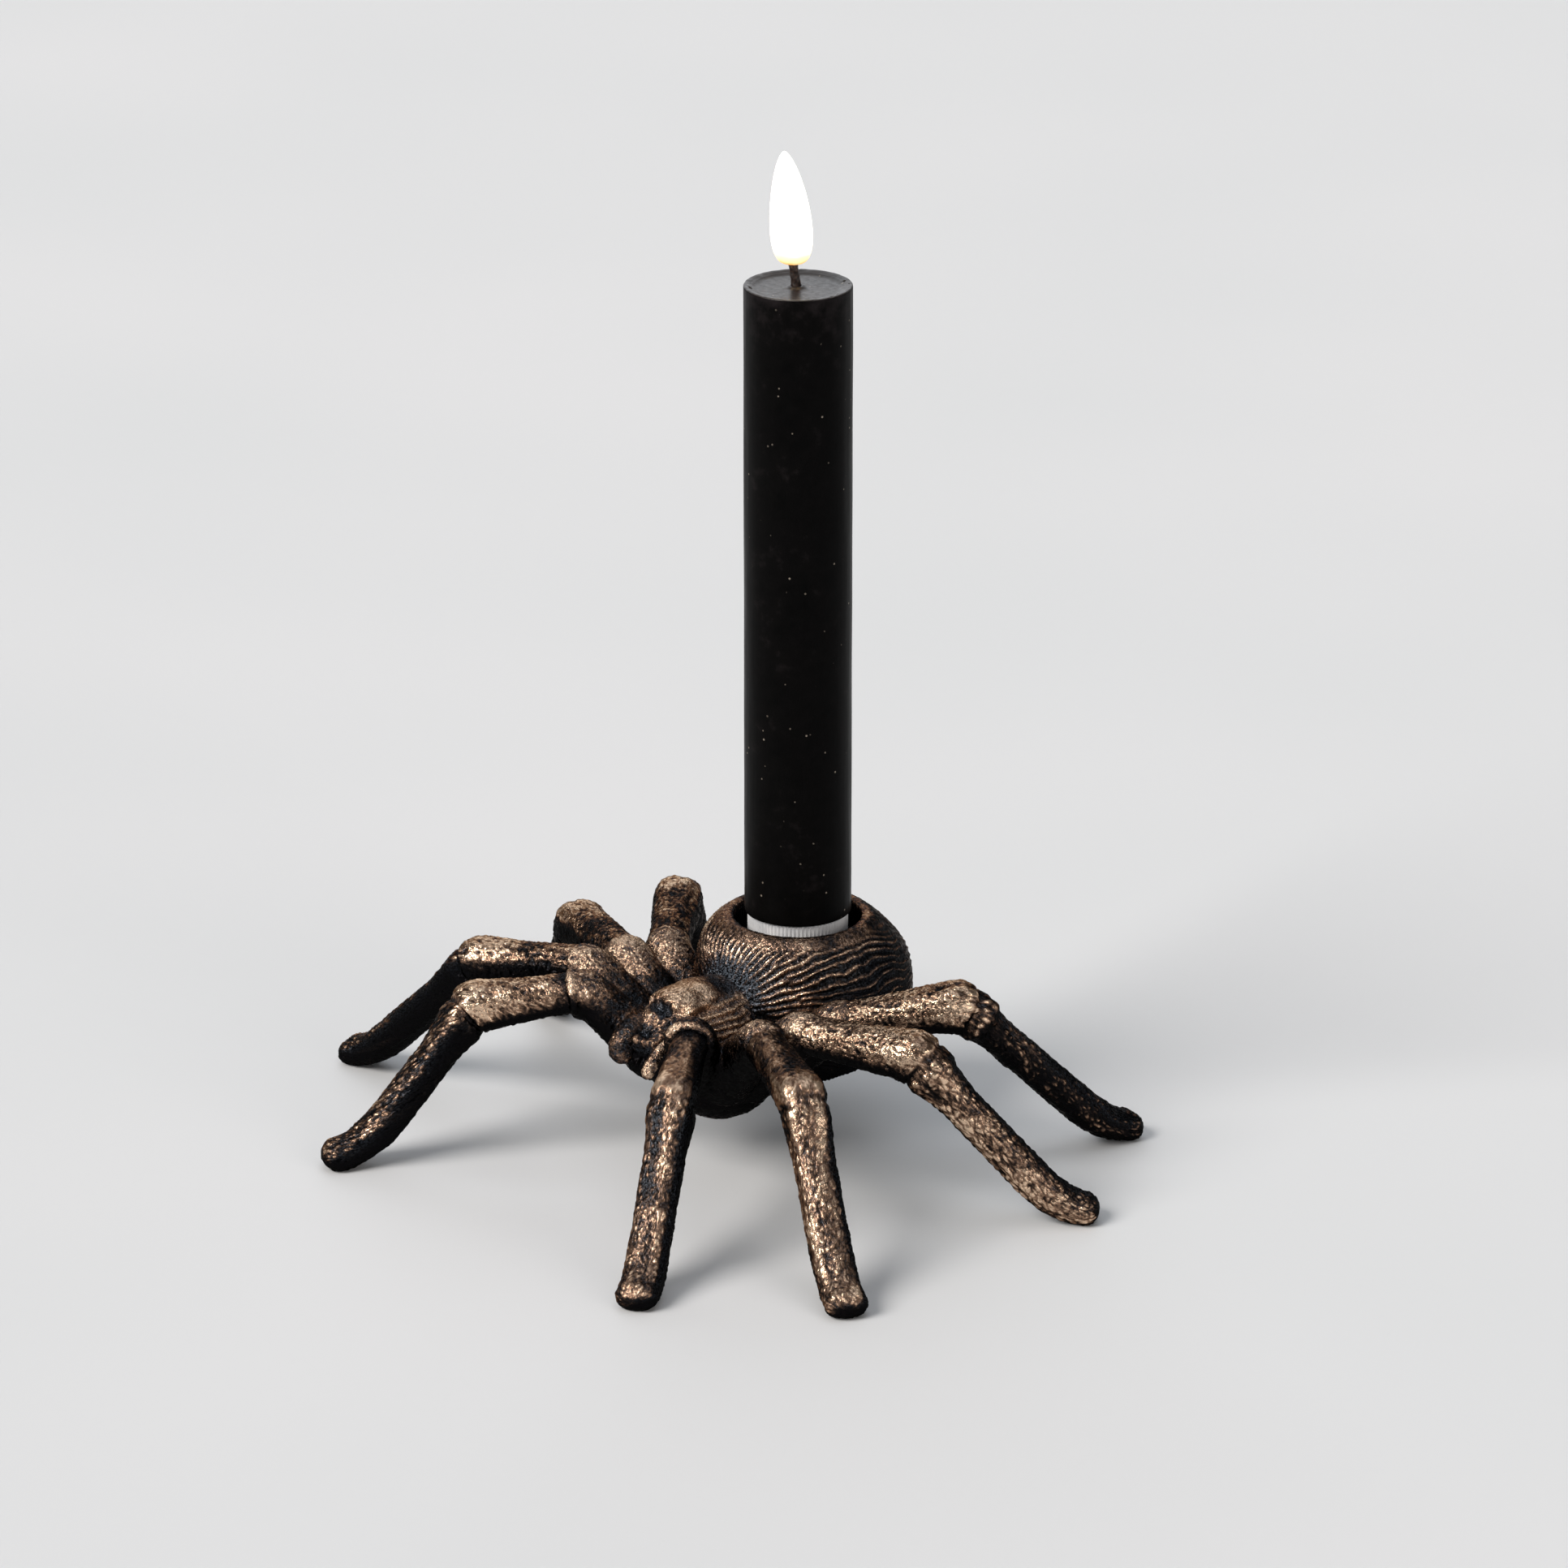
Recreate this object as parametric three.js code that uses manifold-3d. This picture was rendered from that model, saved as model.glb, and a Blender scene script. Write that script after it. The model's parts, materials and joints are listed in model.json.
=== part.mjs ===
// A cast spider whose abdomen is a candle cup, with a battery taper candle standing in the cup.
// Millimetres, +Z up. The spider faces -Y, its left side is +X, and the table is z = 0.
// Everything is built around the candle's axis, and the whole is centred over the origin at the end.
import * as THREE from 'three';
import { mergeVertices } from 'three/addons/utils/BufferGeometryUtils.js';
import Module from 'manifold-3d';

const wasm = await Module();
wasm.setup();

// Clearances
const seatGap = 0.3; // between pieces that rest on or in each other
const bore = 0.3; // around a pin, a battery or a sleeve in its hole

// Abdomen and cup
const abdomenRadius = 22.4;
const abdomenHalfHeight = 19.7;
const abdomenCentreZ = 30.1;
const abdomenSetBack = 1.5; // its centre behind the candle's axis
const abdomenShoulder = 2.35; // 2 gives an ellipse above the middle, more gives fuller shoulders
const abdomenSides = 36; // faces round the abdomen, its lip and its cup
const abdomenRings = 20;
const lipRadius = 0.9; // the rounded lip's own section
const cupMouthRadius = 13.15;
const cupRimZ = 46.2;
const cupDepth = 21.1;
const footSlack = 0.6; // between the candle's foot and the cup wall at the floor
const cupFloorZ = cupRimZ - cupDepth;

// Front body: half sizes are across, along and up; centres are ahead of the candle's axis and above the table
const carapace = { half: [10.2, 16.5, 12.5], ahead: 24, z: 25.4 };
const belly = { half: [11.5, 12.5, 10.5], ahead: 21, z: 17.7 };
const headLobe = { half: [7.6, 9.6, 8.2], ahead: 32, z: 28.1 };
const muzzle = { half: [6.6, 5.2, 6.4], ahead: 38.2, z: 26.1 };
const eye = { radius: 1.6, ahead: 40.6, out: 2.6, z: 31.5 };
const waistPin = { radius: 2.5, length: 4, z: 25 };

// Fangs
const fang = { rootAhead: 40.5, rootOut: 6, rootZ: 29.1, tipAhead: 46.9, tipOut: 4.6, tipZ: 22.9 };
const fangRadius = 1.9;
const fangTipRadius = 1.6;
const fangPin = { radius: 0.8, length: 3 };

// Legs from the front: ahead of the candle's axis, out to the side, and up to the limb's centre.
// Each starts at a hip on the front body; the sculpted spider differs a little from side to side.
const legs = {
  leg_left_1: { side: 1, root: [33, 7, 22], hip: [43, 16.5, 35.4], knee: [60.5, 31.5, 31.9], toe: [85.5, 49.2] },
  leg_left_2: { side: 1, root: [27, 8, 19], hip: [33.5, 27, 35.2], knee: [43.5, 50.5, 32.9], toe: [57.5, 79] },
  leg_left_3: { side: 1, root: [21, 8, 18], hip: [23, 27, 34.1], knee: [14.5, 52.5, 34.4], toe: [-9, 76.5] },
  leg_left_4: { side: 1, root: [16, 8, 18], hip: [12.5, 26.5, 33.2], knee: [-5.5, 43.5, 37.4], toe: [-45, 51] },
  leg_right_1: { side: -1, root: [33, 7, 22], hip: [43, 16.5, 35.4], knee: [60.5, 31.5, 31.9], toe: [86.5, 44] },
  leg_right_2: { side: -1, root: [27, 8, 19], hip: [33.5, 27, 35.2], knee: [43.5, 50.5, 31.7], toe: [48.5, 85] },
  leg_right_3: { side: -1, root: [21, 8, 18], hip: [23, 27, 34.1], knee: [14.5, 52.5, 31.8], toe: [-1, 81] },
  leg_right_4: { side: -1, root: [16, 8, 18], hip: [12.5, 26.5, 33.2], knee: [-5.5, 44, 34.5], toe: [-34, 66] },
};
const stubRootRadius = 6.2;
const stubRadius = 5.2;
const hipRadius = 5.2;
const hipCollar = { radius: 4.6, length: 3, sides: 10 }; // the stub's end beyond the hip, where the leg joins on
// Limb sections: half width and half height
const thighRoot = [4.2, 4];
const thigh = [4.5, 4.3];
const knee = [5, 4.9];
const shin = [4.2, 3.7];
const footEnd = [4.4, 2.8];
const footLength = 9; // the flatter end of the leg
const ankleRise = 4.6; // how much higher the ankle is than the toe
const soleDepth = 0.4; // how much of the foot's underside is cut flat
const legPin = { radius: 2, length: 4 };
const underTable = { width: 400, depth: 20 }; // room below z = 0 that the soles are cut off at
const toeZ = footEnd[1] - soleDepth;

// Candle, measured from the underside of its foot
const waxRadius = 11;
const waxLength = 133.2;
const waxEdge = 0.8; // rounding of the bottom edge and of the shoulder
const waxDish = 0.7; // the hollow in the top
const waxTopWall = 4;
const wickOffset = 0.4; // how far the wick stands off the axis
const wickRadius = 0.95;
const wickRise = 4.4; // shown between the wax and the flame
const wickLean = 0.65; // further off at the flame than at the wax
const leanDirection = [-0.663, -0.749];

// Foot cap with its bayonet, ribs and switch
const capHeight = 21.4;
const capRibRadius = 10.3;
const capRibDepth = 0.25;
const capRibs = 78;
const capBoreRadius = 8.6;
const capFloor = 1.8;
const ledge = { radius: 7, z: 4.6 }; // carries the contact cup
const lug = { reach: 0.8, z: 13.5, height: 1.5, spread: 14 };
const twist = 40; // degrees from locked to open
const slotWall = 0.6; // left outside the bayonet slots
const knob = { length: 2, width: 2.4, travel: 2.4, recess: 0.4 };
const slider = { length: 4, width: 3.2, thickness: 0.9 };
const switchWall = 1.2;

// Batteries, tube and contacts
const battery = { radius: 7.15, length: 50.5, nubRadius: 2.7, nubHeight: 1 };
const batteryStart = 12;
const tubeWall = 1.35;
const neckStart = 10;
const neckInset = 0.5; // the neck is this much slimmer than the tube
const shelfThickness = 1.2;
const plateThickness = 0.4;
const contactRing = { inner: 7.3, outer: 7.8 };
const spring = { wire: 0.35, bottomRadius: 4.4, topRadius: 2.8, turns: 4 };
const strip = { inner: 7.4, thickness: 0.2, spread: 24 };
const boardThickness = 1;
const chip = { length: 5, width: 4, height: 1.5, offset: 4 };
const wire = { radius: 0.4, spread: 2.4, together: 0.6 };
const plug = { flange: 1.4, spigot: 3 };

// Flame
const flame = { height: 23, radius: 4.2, wall: 0.8 };
const swell = { foot: 0.36, tip: 0.62 }; // how steeply the flame widens from its foot and from its tip
const drift = { slope: 0.04, bow: 0.0015 }; // how it leans on as it rises
const flameSocket = 1.2; // how far the wick reaches into the flame
const led = { radius: 1.2, height: 3.4 };

// Places that follow from the sizes
const candleZ = cupFloorZ + seatGap;
const cupFloorRadius = capRibRadius + footSlack;
const waxStart = capHeight + seatGap;
const waxTop = waxStart + waxLength;
const tubeInner = battery.radius + bore;
const tubeOuter = tubeInner + tubeWall;
const neckOuter = tubeOuter - neckInset;
const waxBore = tubeOuter + bore;
const stackTop = batteryStart + 2 * battery.length + seatGap;
const topPlateZ = stackTop + seatGap;
const shelfZ = topPlateZ + plateThickness + seatGap;
const boardZ = shelfZ + shelfThickness + seatGap;
const boardTop = boardZ + boardThickness;
const plugTop = waxTop - waxTopWall - seatGap;
const tubeTop = plugTop - plug.flange - seatGap;
const stemBottom = tubeTop - plug.spigot - 0.5;
const flameZ = waxTop + wickRise;
const stemTop = flameZ + flameSocket;
const flameOffset = wickOffset + wickLean;
const springZ = ledge.z + seatGap + plateThickness + seatGap;
const springTop = batteryStart - seatGap;

// Materials
function finish(color, roughness, metalness) {
  return new THREE.MeshStandardMaterial({ color, roughness, metalness });
}
const bronzedMetal = () => finish(0x3a2c24, 0.5, 0.85);
const blackWax = () => finish(0x16130f, 0.42, 0);
const whitePlastic = () => finish(0xe6e7ea, 0.45, 0);
const nickelSteel = () => finish(0xb9b7b0, 0.3, 1);
const batterySleeve = () => finish(0x3d4a58, 0.35, 0.2);
const boardGreen = () => finish(0x2c5a3c, 0.5, 0);
const blackPlastic = () => finish(0x1b1b1c, 0.5, 0);
const glowingLens = () => finish(0xfff0cf, 0.3, 0);

// Closed solid from a three.js geometry: shared corners are merged and empty faces dropped
function solidOf(geometry) {
  const bare = geometry.clone();
  bare.deleteAttribute('normal');
  bare.deleteAttribute('uv');
  const merged = mergeVertices(bare, 1e-5);
  const corners = merged.index.array;
  const faces = [];
  for (let i = 0; i < corners.length; i += 3) {
    const [a, b, c] = [corners[i], corners[i + 1], corners[i + 2]];
    if (a !== b && b !== c && c !== a) faces.push(a, b, c);
  }
  return new wasm.Manifold(new wasm.Mesh({
    numProp: 3,
    vertProperties: new Float32Array(merged.attributes.position.array),
    triVerts: new Uint32Array(faces),
  }));
}

// Named mesh from a solid
function piece(name, solid, material) {
  const data = solid.getMesh();
  const geometry = new THREE.BufferGeometry();
  geometry.setAttribute('position', new THREE.BufferAttribute(new Float32Array(data.vertProperties), 3));
  geometry.setIndex(new THREE.BufferAttribute(new Uint32Array(data.triVerts), 1));
  geometry.computeVertexNormals();
  const mesh = new THREE.Mesh(geometry, material);
  mesh.name = name;
  return mesh;
}

// Solid of revolution about Z. The profile is [radius, z] pairs, anticlockwise with radius to the right.
function turned(profile, sides = 30) {
  const points = profile.map(([radius, z]) => new THREE.Vector2(radius, z));
  points.push(points[0].clone());
  const geometry = new THREE.LatheGeometry(points, sides);
  geometry.rotateX(Math.PI / 2);
  return solidOf(geometry);
}

// Upright cylinder from one height to another
function rod(radius, fromZ, toZ, sides = 24) {
  const geometry = new THREE.CylinderGeometry(radius, radius, toZ - fromZ, sides);
  geometry.rotateX(Math.PI / 2);
  geometry.translate(0, 0, (fromZ + toZ) / 2);
  return solidOf(geometry);
}

// Block standing on a height, centred over x and y
function block(length, width, fromZ, toZ, x = 0, y = 0) {
  const geometry = new THREE.BoxGeometry(length, width, toZ - fromZ);
  geometry.translate(x, y, (fromZ + toZ) / 2);
  return solidOf(geometry);
}

// Cylinder between two points
function pin(from, to, radius, sides = 12) {
  const along = new THREE.Vector3().subVectors(to, from);
  const geometry = new THREE.CylinderGeometry(radius, radius, along.length(), sides);
  const turn = new THREE.Quaternion().setFromUnitVectors(new THREE.Vector3(0, 1, 0), along.clone().normalize());
  geometry.applyQuaternion(turn);
  geometry.translate((from.x + to.x) / 2, (from.y + to.y) / 2, (from.z + to.z) / 2);
  return solidOf(geometry);
}

// Ellipsoid with its half sizes across, along and up
function ellipsoid([across, along, up], centre, around = 18, rings = 10) {
  const geometry = new THREE.SphereGeometry(1, around, rings);
  geometry.scale(across, along, up);
  geometry.translate(centre.x, centre.y, centre.z);
  return solidOf(geometry);
}

// Slice of a ring between two angles in degrees
function ringSlice(inner, outer, fromAngle, toAngle, fromZ, toZ) {
  const [start, end] = [THREE.MathUtils.degToRad(fromAngle), THREE.MathUtils.degToRad(toAngle)];
  const outline = new THREE.Shape();
  outline.absarc(0, 0, outer, start, end, false);
  outline.absarc(0, 0, inner, end, start, true);
  const geometry = new THREE.ExtrudeGeometry(outline, { depth: toZ - fromZ, bevelEnabled: false, curveSegments: 8 });
  geometry.translate(0, 0, fromZ);
  return solidOf(geometry);
}

// Half width and half height at a share of the way, between [share, [width, height]] sections
function sectionAt(sections, share) {
  let i = 1;
  while (i < sections.length - 1 && sections[i][0] < share) i++;
  const [[s0, before], [s1, after]] = [sections[i - 1], sections[i]];
  return before.map((size, k) => size + (after[k] - size) * (share - s0) / (s1 - s0));
}

// Limb: oval rings along a curve that is never upright, with a flat start and a domed end
function limb(curve, sections, rings, sides = 9, domeRings = 3) {
  const up = new THREE.Vector3(0, 0, 1);
  const circles = [];
  for (let i = 0; i <= rings; i++) {
    const share = i / rings;
    const along = curve.getTangentAt(share);
    circles.push({ centre: curve.getPointAt(share), along, size: sectionAt(sections, share) });
  }
  const { centre: endCentre, along: endAlong, size: endSize } = circles[rings];
  const reach = (endSize[0] + endSize[1]) / 2;
  for (let i = 1; i < domeRings; i++) {
    const angle = i / domeRings * Math.PI / 2;
    const centre = endCentre.clone().addScaledVector(endAlong, reach * Math.sin(angle));
    circles.push({ centre, along: endAlong, size: endSize.map((size) => size * Math.cos(angle)) });
  }
  const tip = endCentre.clone().addScaledVector(endAlong, reach);
  const points = [circles[0].centre, tip];
  for (const { centre, along, size } of circles) {
    const across = along.clone().cross(up).normalize();
    const over = across.clone().cross(along);
    for (let k = 0; k < sides; k++) {
      const angle = -k / sides * 2 * Math.PI;
      const point = centre.clone().addScaledVector(across, size[0] * Math.cos(angle));
      points.push(point.addScaledVector(over, size[1] * Math.sin(angle)));
    }
  }
  const faces = [];
  const at = (ring, k) => 2 + ring * sides + k % sides;
  const end = circles.length - 1;
  for (let k = 0; k < sides; k++) {
    faces.push(0, at(0, k + 1), at(0, k), 1, at(end, k), at(end, k + 1));
    for (let ring = 0; ring < end; ring++) {
      faces.push(at(ring, k), at(ring, k + 1), at(ring + 1, k));
      faces.push(at(ring, k + 1), at(ring + 1, k + 1), at(ring + 1, k));
    }
  }
  const geometry = new THREE.BufferGeometry().setFromPoints(points);
  geometry.setIndex(faces);
  return solidOf(geometry);
}

// Point of the spider: side is 1 for its left and -1 for its right
function spiderPoint(side, [ahead, out, z]) {
  return new THREE.Vector3(side * out, -ahead, z);
}

// Grown or true outer form of the abdomen: an ellipsoid below its middle, with fuller shoulders above
function abdomenForm(grow) {
  const geometry = new THREE.SphereGeometry(1, abdomenSides, abdomenRings);
  const position = geometry.attributes.position;
  for (let i = 0; i < position.count; i++) {
    const [x, y, z] = [position.getX(i), position.getY(i), position.getZ(i)];
    const radius = Math.hypot(x, y);
    if (z <= 0 || radius === 0) continue;
    const fuller = Math.pow(radius, 2 / abdomenShoulder) / radius;
    position.setXYZ(i, x * fuller, y * fuller, Math.pow(z, 2 / abdomenShoulder));
  }
  geometry.scale(abdomenRadius + grow, abdomenRadius + grow, abdomenHalfHeight + grow);
  geometry.translate(0, abdomenSetBack, abdomenCentreZ);
  return solidOf(geometry);
}

// Waist pin of the front body, or its hole in the abdomen
function waistRod(grow) {
  const rise = (waistPin.z - abdomenCentreZ) / abdomenHalfHeight;
  const skin = abdomenRadius * Math.sqrt(1 - rise * rise) - abdomenSetBack;
  const inner = new THREE.Vector3(0, -(skin - waistPin.length - grow), waistPin.z);
  const outer = new THREE.Vector3(0, -(skin + 4), waistPin.z);
  return pin(inner, outer, waistPin.radius + grow);
}

function abdomenCup() {
  const lipCentre = cupMouthRadius + lipRadius;
  const lip = new THREE.TorusGeometry(lipCentre, lipRadius, 10, abdomenSides);
  lip.translate(0, 0, cupRimZ - lipRadius);
  const above = cupRimZ + abdomenHalfHeight;
  const well = turned([
    [0, cupFloorZ],
    [cupFloorRadius, cupFloorZ],
    [cupMouthRadius, cupRimZ - lipRadius],
    [cupMouthRadius, above],
    [0, above],
  ], abdomenSides);
  const crown = turned([
    [0, cupRimZ - lipRadius],
    [lipCentre, cupRimZ - lipRadius],
    [lipCentre, cupRimZ],
    [lipCentre + abdomenRadius, cupRimZ],
    [lipCentre + abdomenRadius, above],
    [0, above],
  ], abdomenSides);
  return abdomenForm(0).subtract(crown).add(solidOf(lip)).subtract(well).subtract(waistRod(bore));
}

// Outer form of the head, which also shapes the seats of the fangs
function headForm(grow) {
  const grown = ({ half, ahead, z }) => ellipsoid(half.map((size) => size + grow), new THREE.Vector3(0, -ahead, z));
  return grown(headLobe).add(grown(muzzle));
}

// Where a leg joins its stub: a flat face beyond the hip, square to the thigh
function legJoint({ side, hip, knee: bend }) {
  const centre = spiderPoint(side, hip);
  const along = spiderPoint(side, bend).sub(centre).normalize();
  const face = centre.clone().addScaledVector(along, hipCollar.length);
  return { centre, along, face };
}

// Pin of a leg, or its hole in the stub
function legRod(joint, grow) {
  const inner = joint.face.clone().addScaledVector(joint.along, -(legPin.length + grow));
  const outer = joint.face.clone().addScaledVector(joint.along, 1.5);
  return pin(inner, outer, legPin.radius + grow);
}

// Stub from the front body up to a hip
function stub(place, grow) {
  const line = new THREE.LineCurve3(spiderPoint(place.side, place.root), spiderPoint(place.side, place.hip));
  const [wide, slim, hip] = [stubRootRadius, stubRadius, hipRadius].map((radius) => [radius + grow, radius + grow]);
  return limb(line, [[0, wide], [0.7, slim], [1, hip]], 3, 8);
}

function fangRod(side, grow) {
  const root = spiderPoint(side, [fang.rootAhead, fang.rootOut, fang.rootZ]);
  const inward = new THREE.Vector3(side * fang.rootOut * 0.5, -(fang.rootAhead - 6), fang.rootZ).sub(root).normalize();
  const inner = root.clone().addScaledVector(inward, fangPin.length + grow + 2);
  return pin(inner, root, fangPin.radius + grow, 8);
}

function cephalothorax() {
  const centre = ({ ahead, z }) => new THREE.Vector3(0, -ahead, z);
  let solid = ellipsoid(carapace.half, centre(carapace)).add(ellipsoid(belly.half, centre(belly)));
  solid = solid.add(headForm(0)).add(waistRod(0));
  const sockets = [];
  for (const place of Object.values(legs)) {
    const joint = legJoint(place);
    solid = solid.add(stub(place, 0)).add(pin(joint.centre, joint.face, hipCollar.radius, hipCollar.sides));
    const beyond = joint.face.clone().addScaledVector(joint.along, 2 * hipRadius);
    sockets.push(pin(joint.face, beyond, 2 * hipRadius), legRod(joint, bore));
  }
  for (const side of [1, -1]) {
    const lens = [eye.radius, eye.radius, eye.radius];
    solid = solid.add(ellipsoid(lens, spiderPoint(side, [eye.ahead, eye.out, eye.z]), 10, 6));
    sockets.push(fangRod(side, bore));
  }
  for (const socket of sockets) solid = solid.subtract(socket);
  return solid.subtract(abdomenForm(seatGap)).add(waistRod(0));
}

// One leg: thigh with its knee, shin bent flatter into the foot, pin at the root and a flat sole
function leg(place) {
  const joint = legJoint(place);
  const bend = spiderPoint(place.side, place.knee);
  const toe = spiderPoint(place.side, [...place.toe, toeZ]);
  const root = joint.face.clone().addScaledVector(joint.along, seatGap);
  const upper = limb(new THREE.LineCurve3(root, bend), [[0, thighRoot], [0.5, thigh], [1, knee]], 4);
  const outward = new THREE.Vector3(toe.x - bend.x, toe.y - bend.y, 0).normalize();
  const ankle = toe.clone().addScaledVector(outward, -footLength);
  ankle.z += ankleRise;
  const ball = toe.clone().addScaledVector(outward, -footLength / 4);
  const line = new THREE.CatmullRomCurve3([bend, bend.clone().lerp(ankle, 0.5), ankle, ball, toe]);
  const lower = limb(line, [[0, shin], [0.7, shin], [1, footEnd]], 8, 10);
  const below = block(underTable.width, underTable.width, -underTable.depth, 0);
  return upper.add(lower).subtract(below).add(legRod(joint, 0));
}

function fangPiece(side) {
  const root = spiderPoint(side, [fang.rootAhead - 2, fang.rootOut, fang.rootZ]);
  const middle = spiderPoint(side, [fang.rootAhead + 3, fang.rootOut + 0.4, fang.rootZ - 0.6]);
  const tip = spiderPoint(side, [fang.tipAhead - 0.6, fang.tipOut, fang.tipZ + 1]);
  const curve = new THREE.CatmullRomCurve3([root, middle, tip]);
  const [full, slim] = [fangRadius, fangTipRadius].map((radius) => [radius, radius]);
  const finger = limb(curve, [[0, full], [0.7, full], [1, slim]], 6, 8);
  const frontLeg = Object.values(legs).find((place) => place.side === side);
  return finger.subtract(headForm(seatGap)).subtract(stub(frontLeg, seatGap)).add(fangRod(side, 0));
}

// Point on the wick's or the flame's leaning line
function leanPoint(offset, z) {
  return new THREE.Vector3(leanDirection[0] * offset, leanDirection[1] * offset, z);
}

function wickHole(fromZ, toZ) {
  const foot = leanPoint(wickOffset, 0);
  return rod(wickRadius + bore, fromZ, toZ, 16).translate([foot.x, foot.y, 0]);
}

function waxShell() {
  const shoulder = waxTop - waxEdge;
  const roof = waxTop - waxTopWall;
  const shell = turned([
    [waxBore, waxStart],
    [waxRadius - waxEdge, waxStart],
    [waxRadius - waxEdge * 0.3, waxStart + waxEdge * 0.3],
    [waxRadius, waxStart + waxEdge],
    [waxRadius, shoulder],
    [waxRadius - waxEdge * 0.3, waxTop - waxEdge * 0.3],
    [waxRadius - waxEdge, waxTop],
    [waxRadius * 0.78, waxTop - waxDish],
    [waxRadius * 0.3, waxTop - waxDish],
    [0, waxTop - waxDish * 0.4],
    [0, roof],
    [waxBore, roof],
  ], 40);
  return shell.subtract(wickHole(roof - 1, waxTop + 1));
}

function batteryTube() {
  const tube = turned([
    [tubeInner, neckStart],
    [neckOuter, neckStart],
    [neckOuter, waxStart],
    [tubeOuter, waxStart],
    [tubeOuter, tubeTop],
    [tubeInner, tubeTop],
  ]);
  let solid = tube.add(rod(tubeInner + tubeWall / 2, shelfZ, shelfZ + shelfThickness, 30));
  const lugOuter = neckOuter + lug.reach;
  for (const angle of [0, 180]) {
    const half = lug.spread / 2;
    const tab = ringSlice(neckOuter - 0.4, lugOuter, angle - half, angle + half, lug.z, lug.z + lug.height);
    solid = solid.add(tab);
  }
  const half = strip.spread / 2 + 3;
  const groove = ringSlice(strip.inner - bore, strip.inner + strip.thickness + bore, 90 - half, 90 + half,
    neckStart - 1, boardTop + 1);
  return solid.subtract(groove);
}

function contactStrip() {
  const half = strip.spread / 2;
  return ringSlice(strip.inner, strip.inner + strip.thickness, 90 - half, 90 + half, neckStart, boardTop);
}

function batteryCell(fromZ) {
  const top = fromZ + battery.length;
  const shoulder = top - battery.nubHeight;
  return turned([
    [0, fromZ],
    [battery.radius - 0.6, fromZ],
    [battery.radius, fromZ + 0.5],
    [battery.radius, shoulder - 0.5],
    [battery.radius - 0.6, shoulder],
    [battery.nubRadius, shoulder],
    [battery.nubRadius, top],
    [0, top],
  ], 24);
}

function topContact() {
  return rod(battery.radius - 0.05, topPlateZ, topPlateZ + plateThickness);
}

function circuitBoard() {
  return rod(strip.inner - bore, boardZ, boardTop);
}

function timerChip() {
  const base = boardTop + seatGap;
  return block(chip.length, chip.width, base, base + chip.height, 0, -chip.offset);
}

// Lead from the board up to the wick's sleeve
function leadWire(side) {
  const foot = leanPoint(wickOffset, 0);
  const line = new THREE.CatmullRomCurve3([
    new THREE.Vector3(side * wire.spread, 0, boardTop + seatGap),
    new THREE.Vector3(side * wire.spread, 0, boardTop + 5),
    new THREE.Vector3(side * wire.together + foot.x, foot.y, stemBottom - 5),
    new THREE.Vector3(side * wire.together + foot.x, foot.y, stemBottom - seatGap),
  ]);
  const section = new THREE.Shape().absarc(0, 0, wire.radius, 0, 2 * Math.PI, false);
  const geometry = new THREE.ExtrudeGeometry(section, { steps: 8, curveSegments: 4, extrudePath: line });
  return solidOf(geometry);
}

function wickPlug() {
  const body = turned([
    [0, tubeTop - plug.spigot],
    [tubeInner - bore, tubeTop - plug.spigot],
    [tubeInner - bore, tubeTop + seatGap],
    [tubeOuter, tubeTop + seatGap],
    [tubeOuter, plugTop],
    [0, plugTop],
  ]);
  return body.subtract(wickHole(tubeTop - plug.spigot - 1, plugTop + 1));
}

function wickStem() {
  const line = new THREE.CatmullRomCurve3([
    leanPoint(wickOffset, stemBottom),
    leanPoint(wickOffset, waxTop - waxTopWall),
    leanPoint(wickOffset, waxTop),
    leanPoint(flameOffset, flameZ),
    leanPoint(flameOffset, stemTop),
  ]);
  const section = new THREE.Shape().absarc(0, 0, wickRadius, 0, 2 * Math.PI, false);
  const geometry = new THREE.ExtrudeGeometry(section, { steps: 8, curveSegments: 4, extrudePath: line });
  return solidOf(geometry);
}

// Flame outline at a share of its height: full low down, drawn in to a point above
function flameHalfWidth(share) {
  const width = (at) => Math.pow(at, swell.foot) * Math.pow(1 - at, swell.tip);
  return flame.radius * width(share) / width(swell.foot / (swell.foot + swell.tip));
}

// How far the flame's middle has leaned at a height above its foot
function flameLean(height) {
  return flameOffset + drift.slope * height + drift.bow * height * height;
}

// Hollow flame on its leaning line, open where the wick enters
function flameLens() {
  const steps = 9;
  const mouth = wickRadius + bore;
  const inner = [];
  const outer = [];
  for (let i = 0; i <= steps; i++) {
    const share = (1 - Math.cos(i / steps * Math.PI)) / 2;
    outer.push([Math.max(flameHalfWidth(share), i < steps ? mouth : 0), share * flame.height]);
    const half = flameHalfWidth(share) * (1 - flame.wall / flame.radius);
    const z = flame.wall + share * (flame.height - 2.5 * flame.wall);
    inner.push([Math.max(half, i < steps ? mouth : 0), z]);
  }
  const profile = [...outer, ...inner.reverse()];
  const points = [...profile, profile[0]].map(([radius, z]) => new THREE.Vector2(radius, z));
  const geometry = new THREE.LatheGeometry(points, 24);
  geometry.rotateX(Math.PI / 2);
  const position = geometry.attributes.position;
  for (let i = 0; i < position.count; i++) {
    const height = position.getZ(i);
    const shift = leanPoint(flameLean(height), 0);
    position.setXYZ(i, position.getX(i) + shift.x, position.getY(i) + shift.y, height + flameZ);
  }
  return solidOf(geometry);
}

function ledLamp() {
  const base = stemTop + seatGap;
  const place = leanPoint(flameLean(base - flameZ), 0);
  const lamp = turned([
    [0, base],
    [led.radius, base],
    [led.radius, base + led.height * 0.6],
    [led.radius * 0.7, base + led.height * 0.9],
    [0, base + led.height],
  ], 20);
  return lamp.translate([place.x, place.y, 0]);
}

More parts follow.
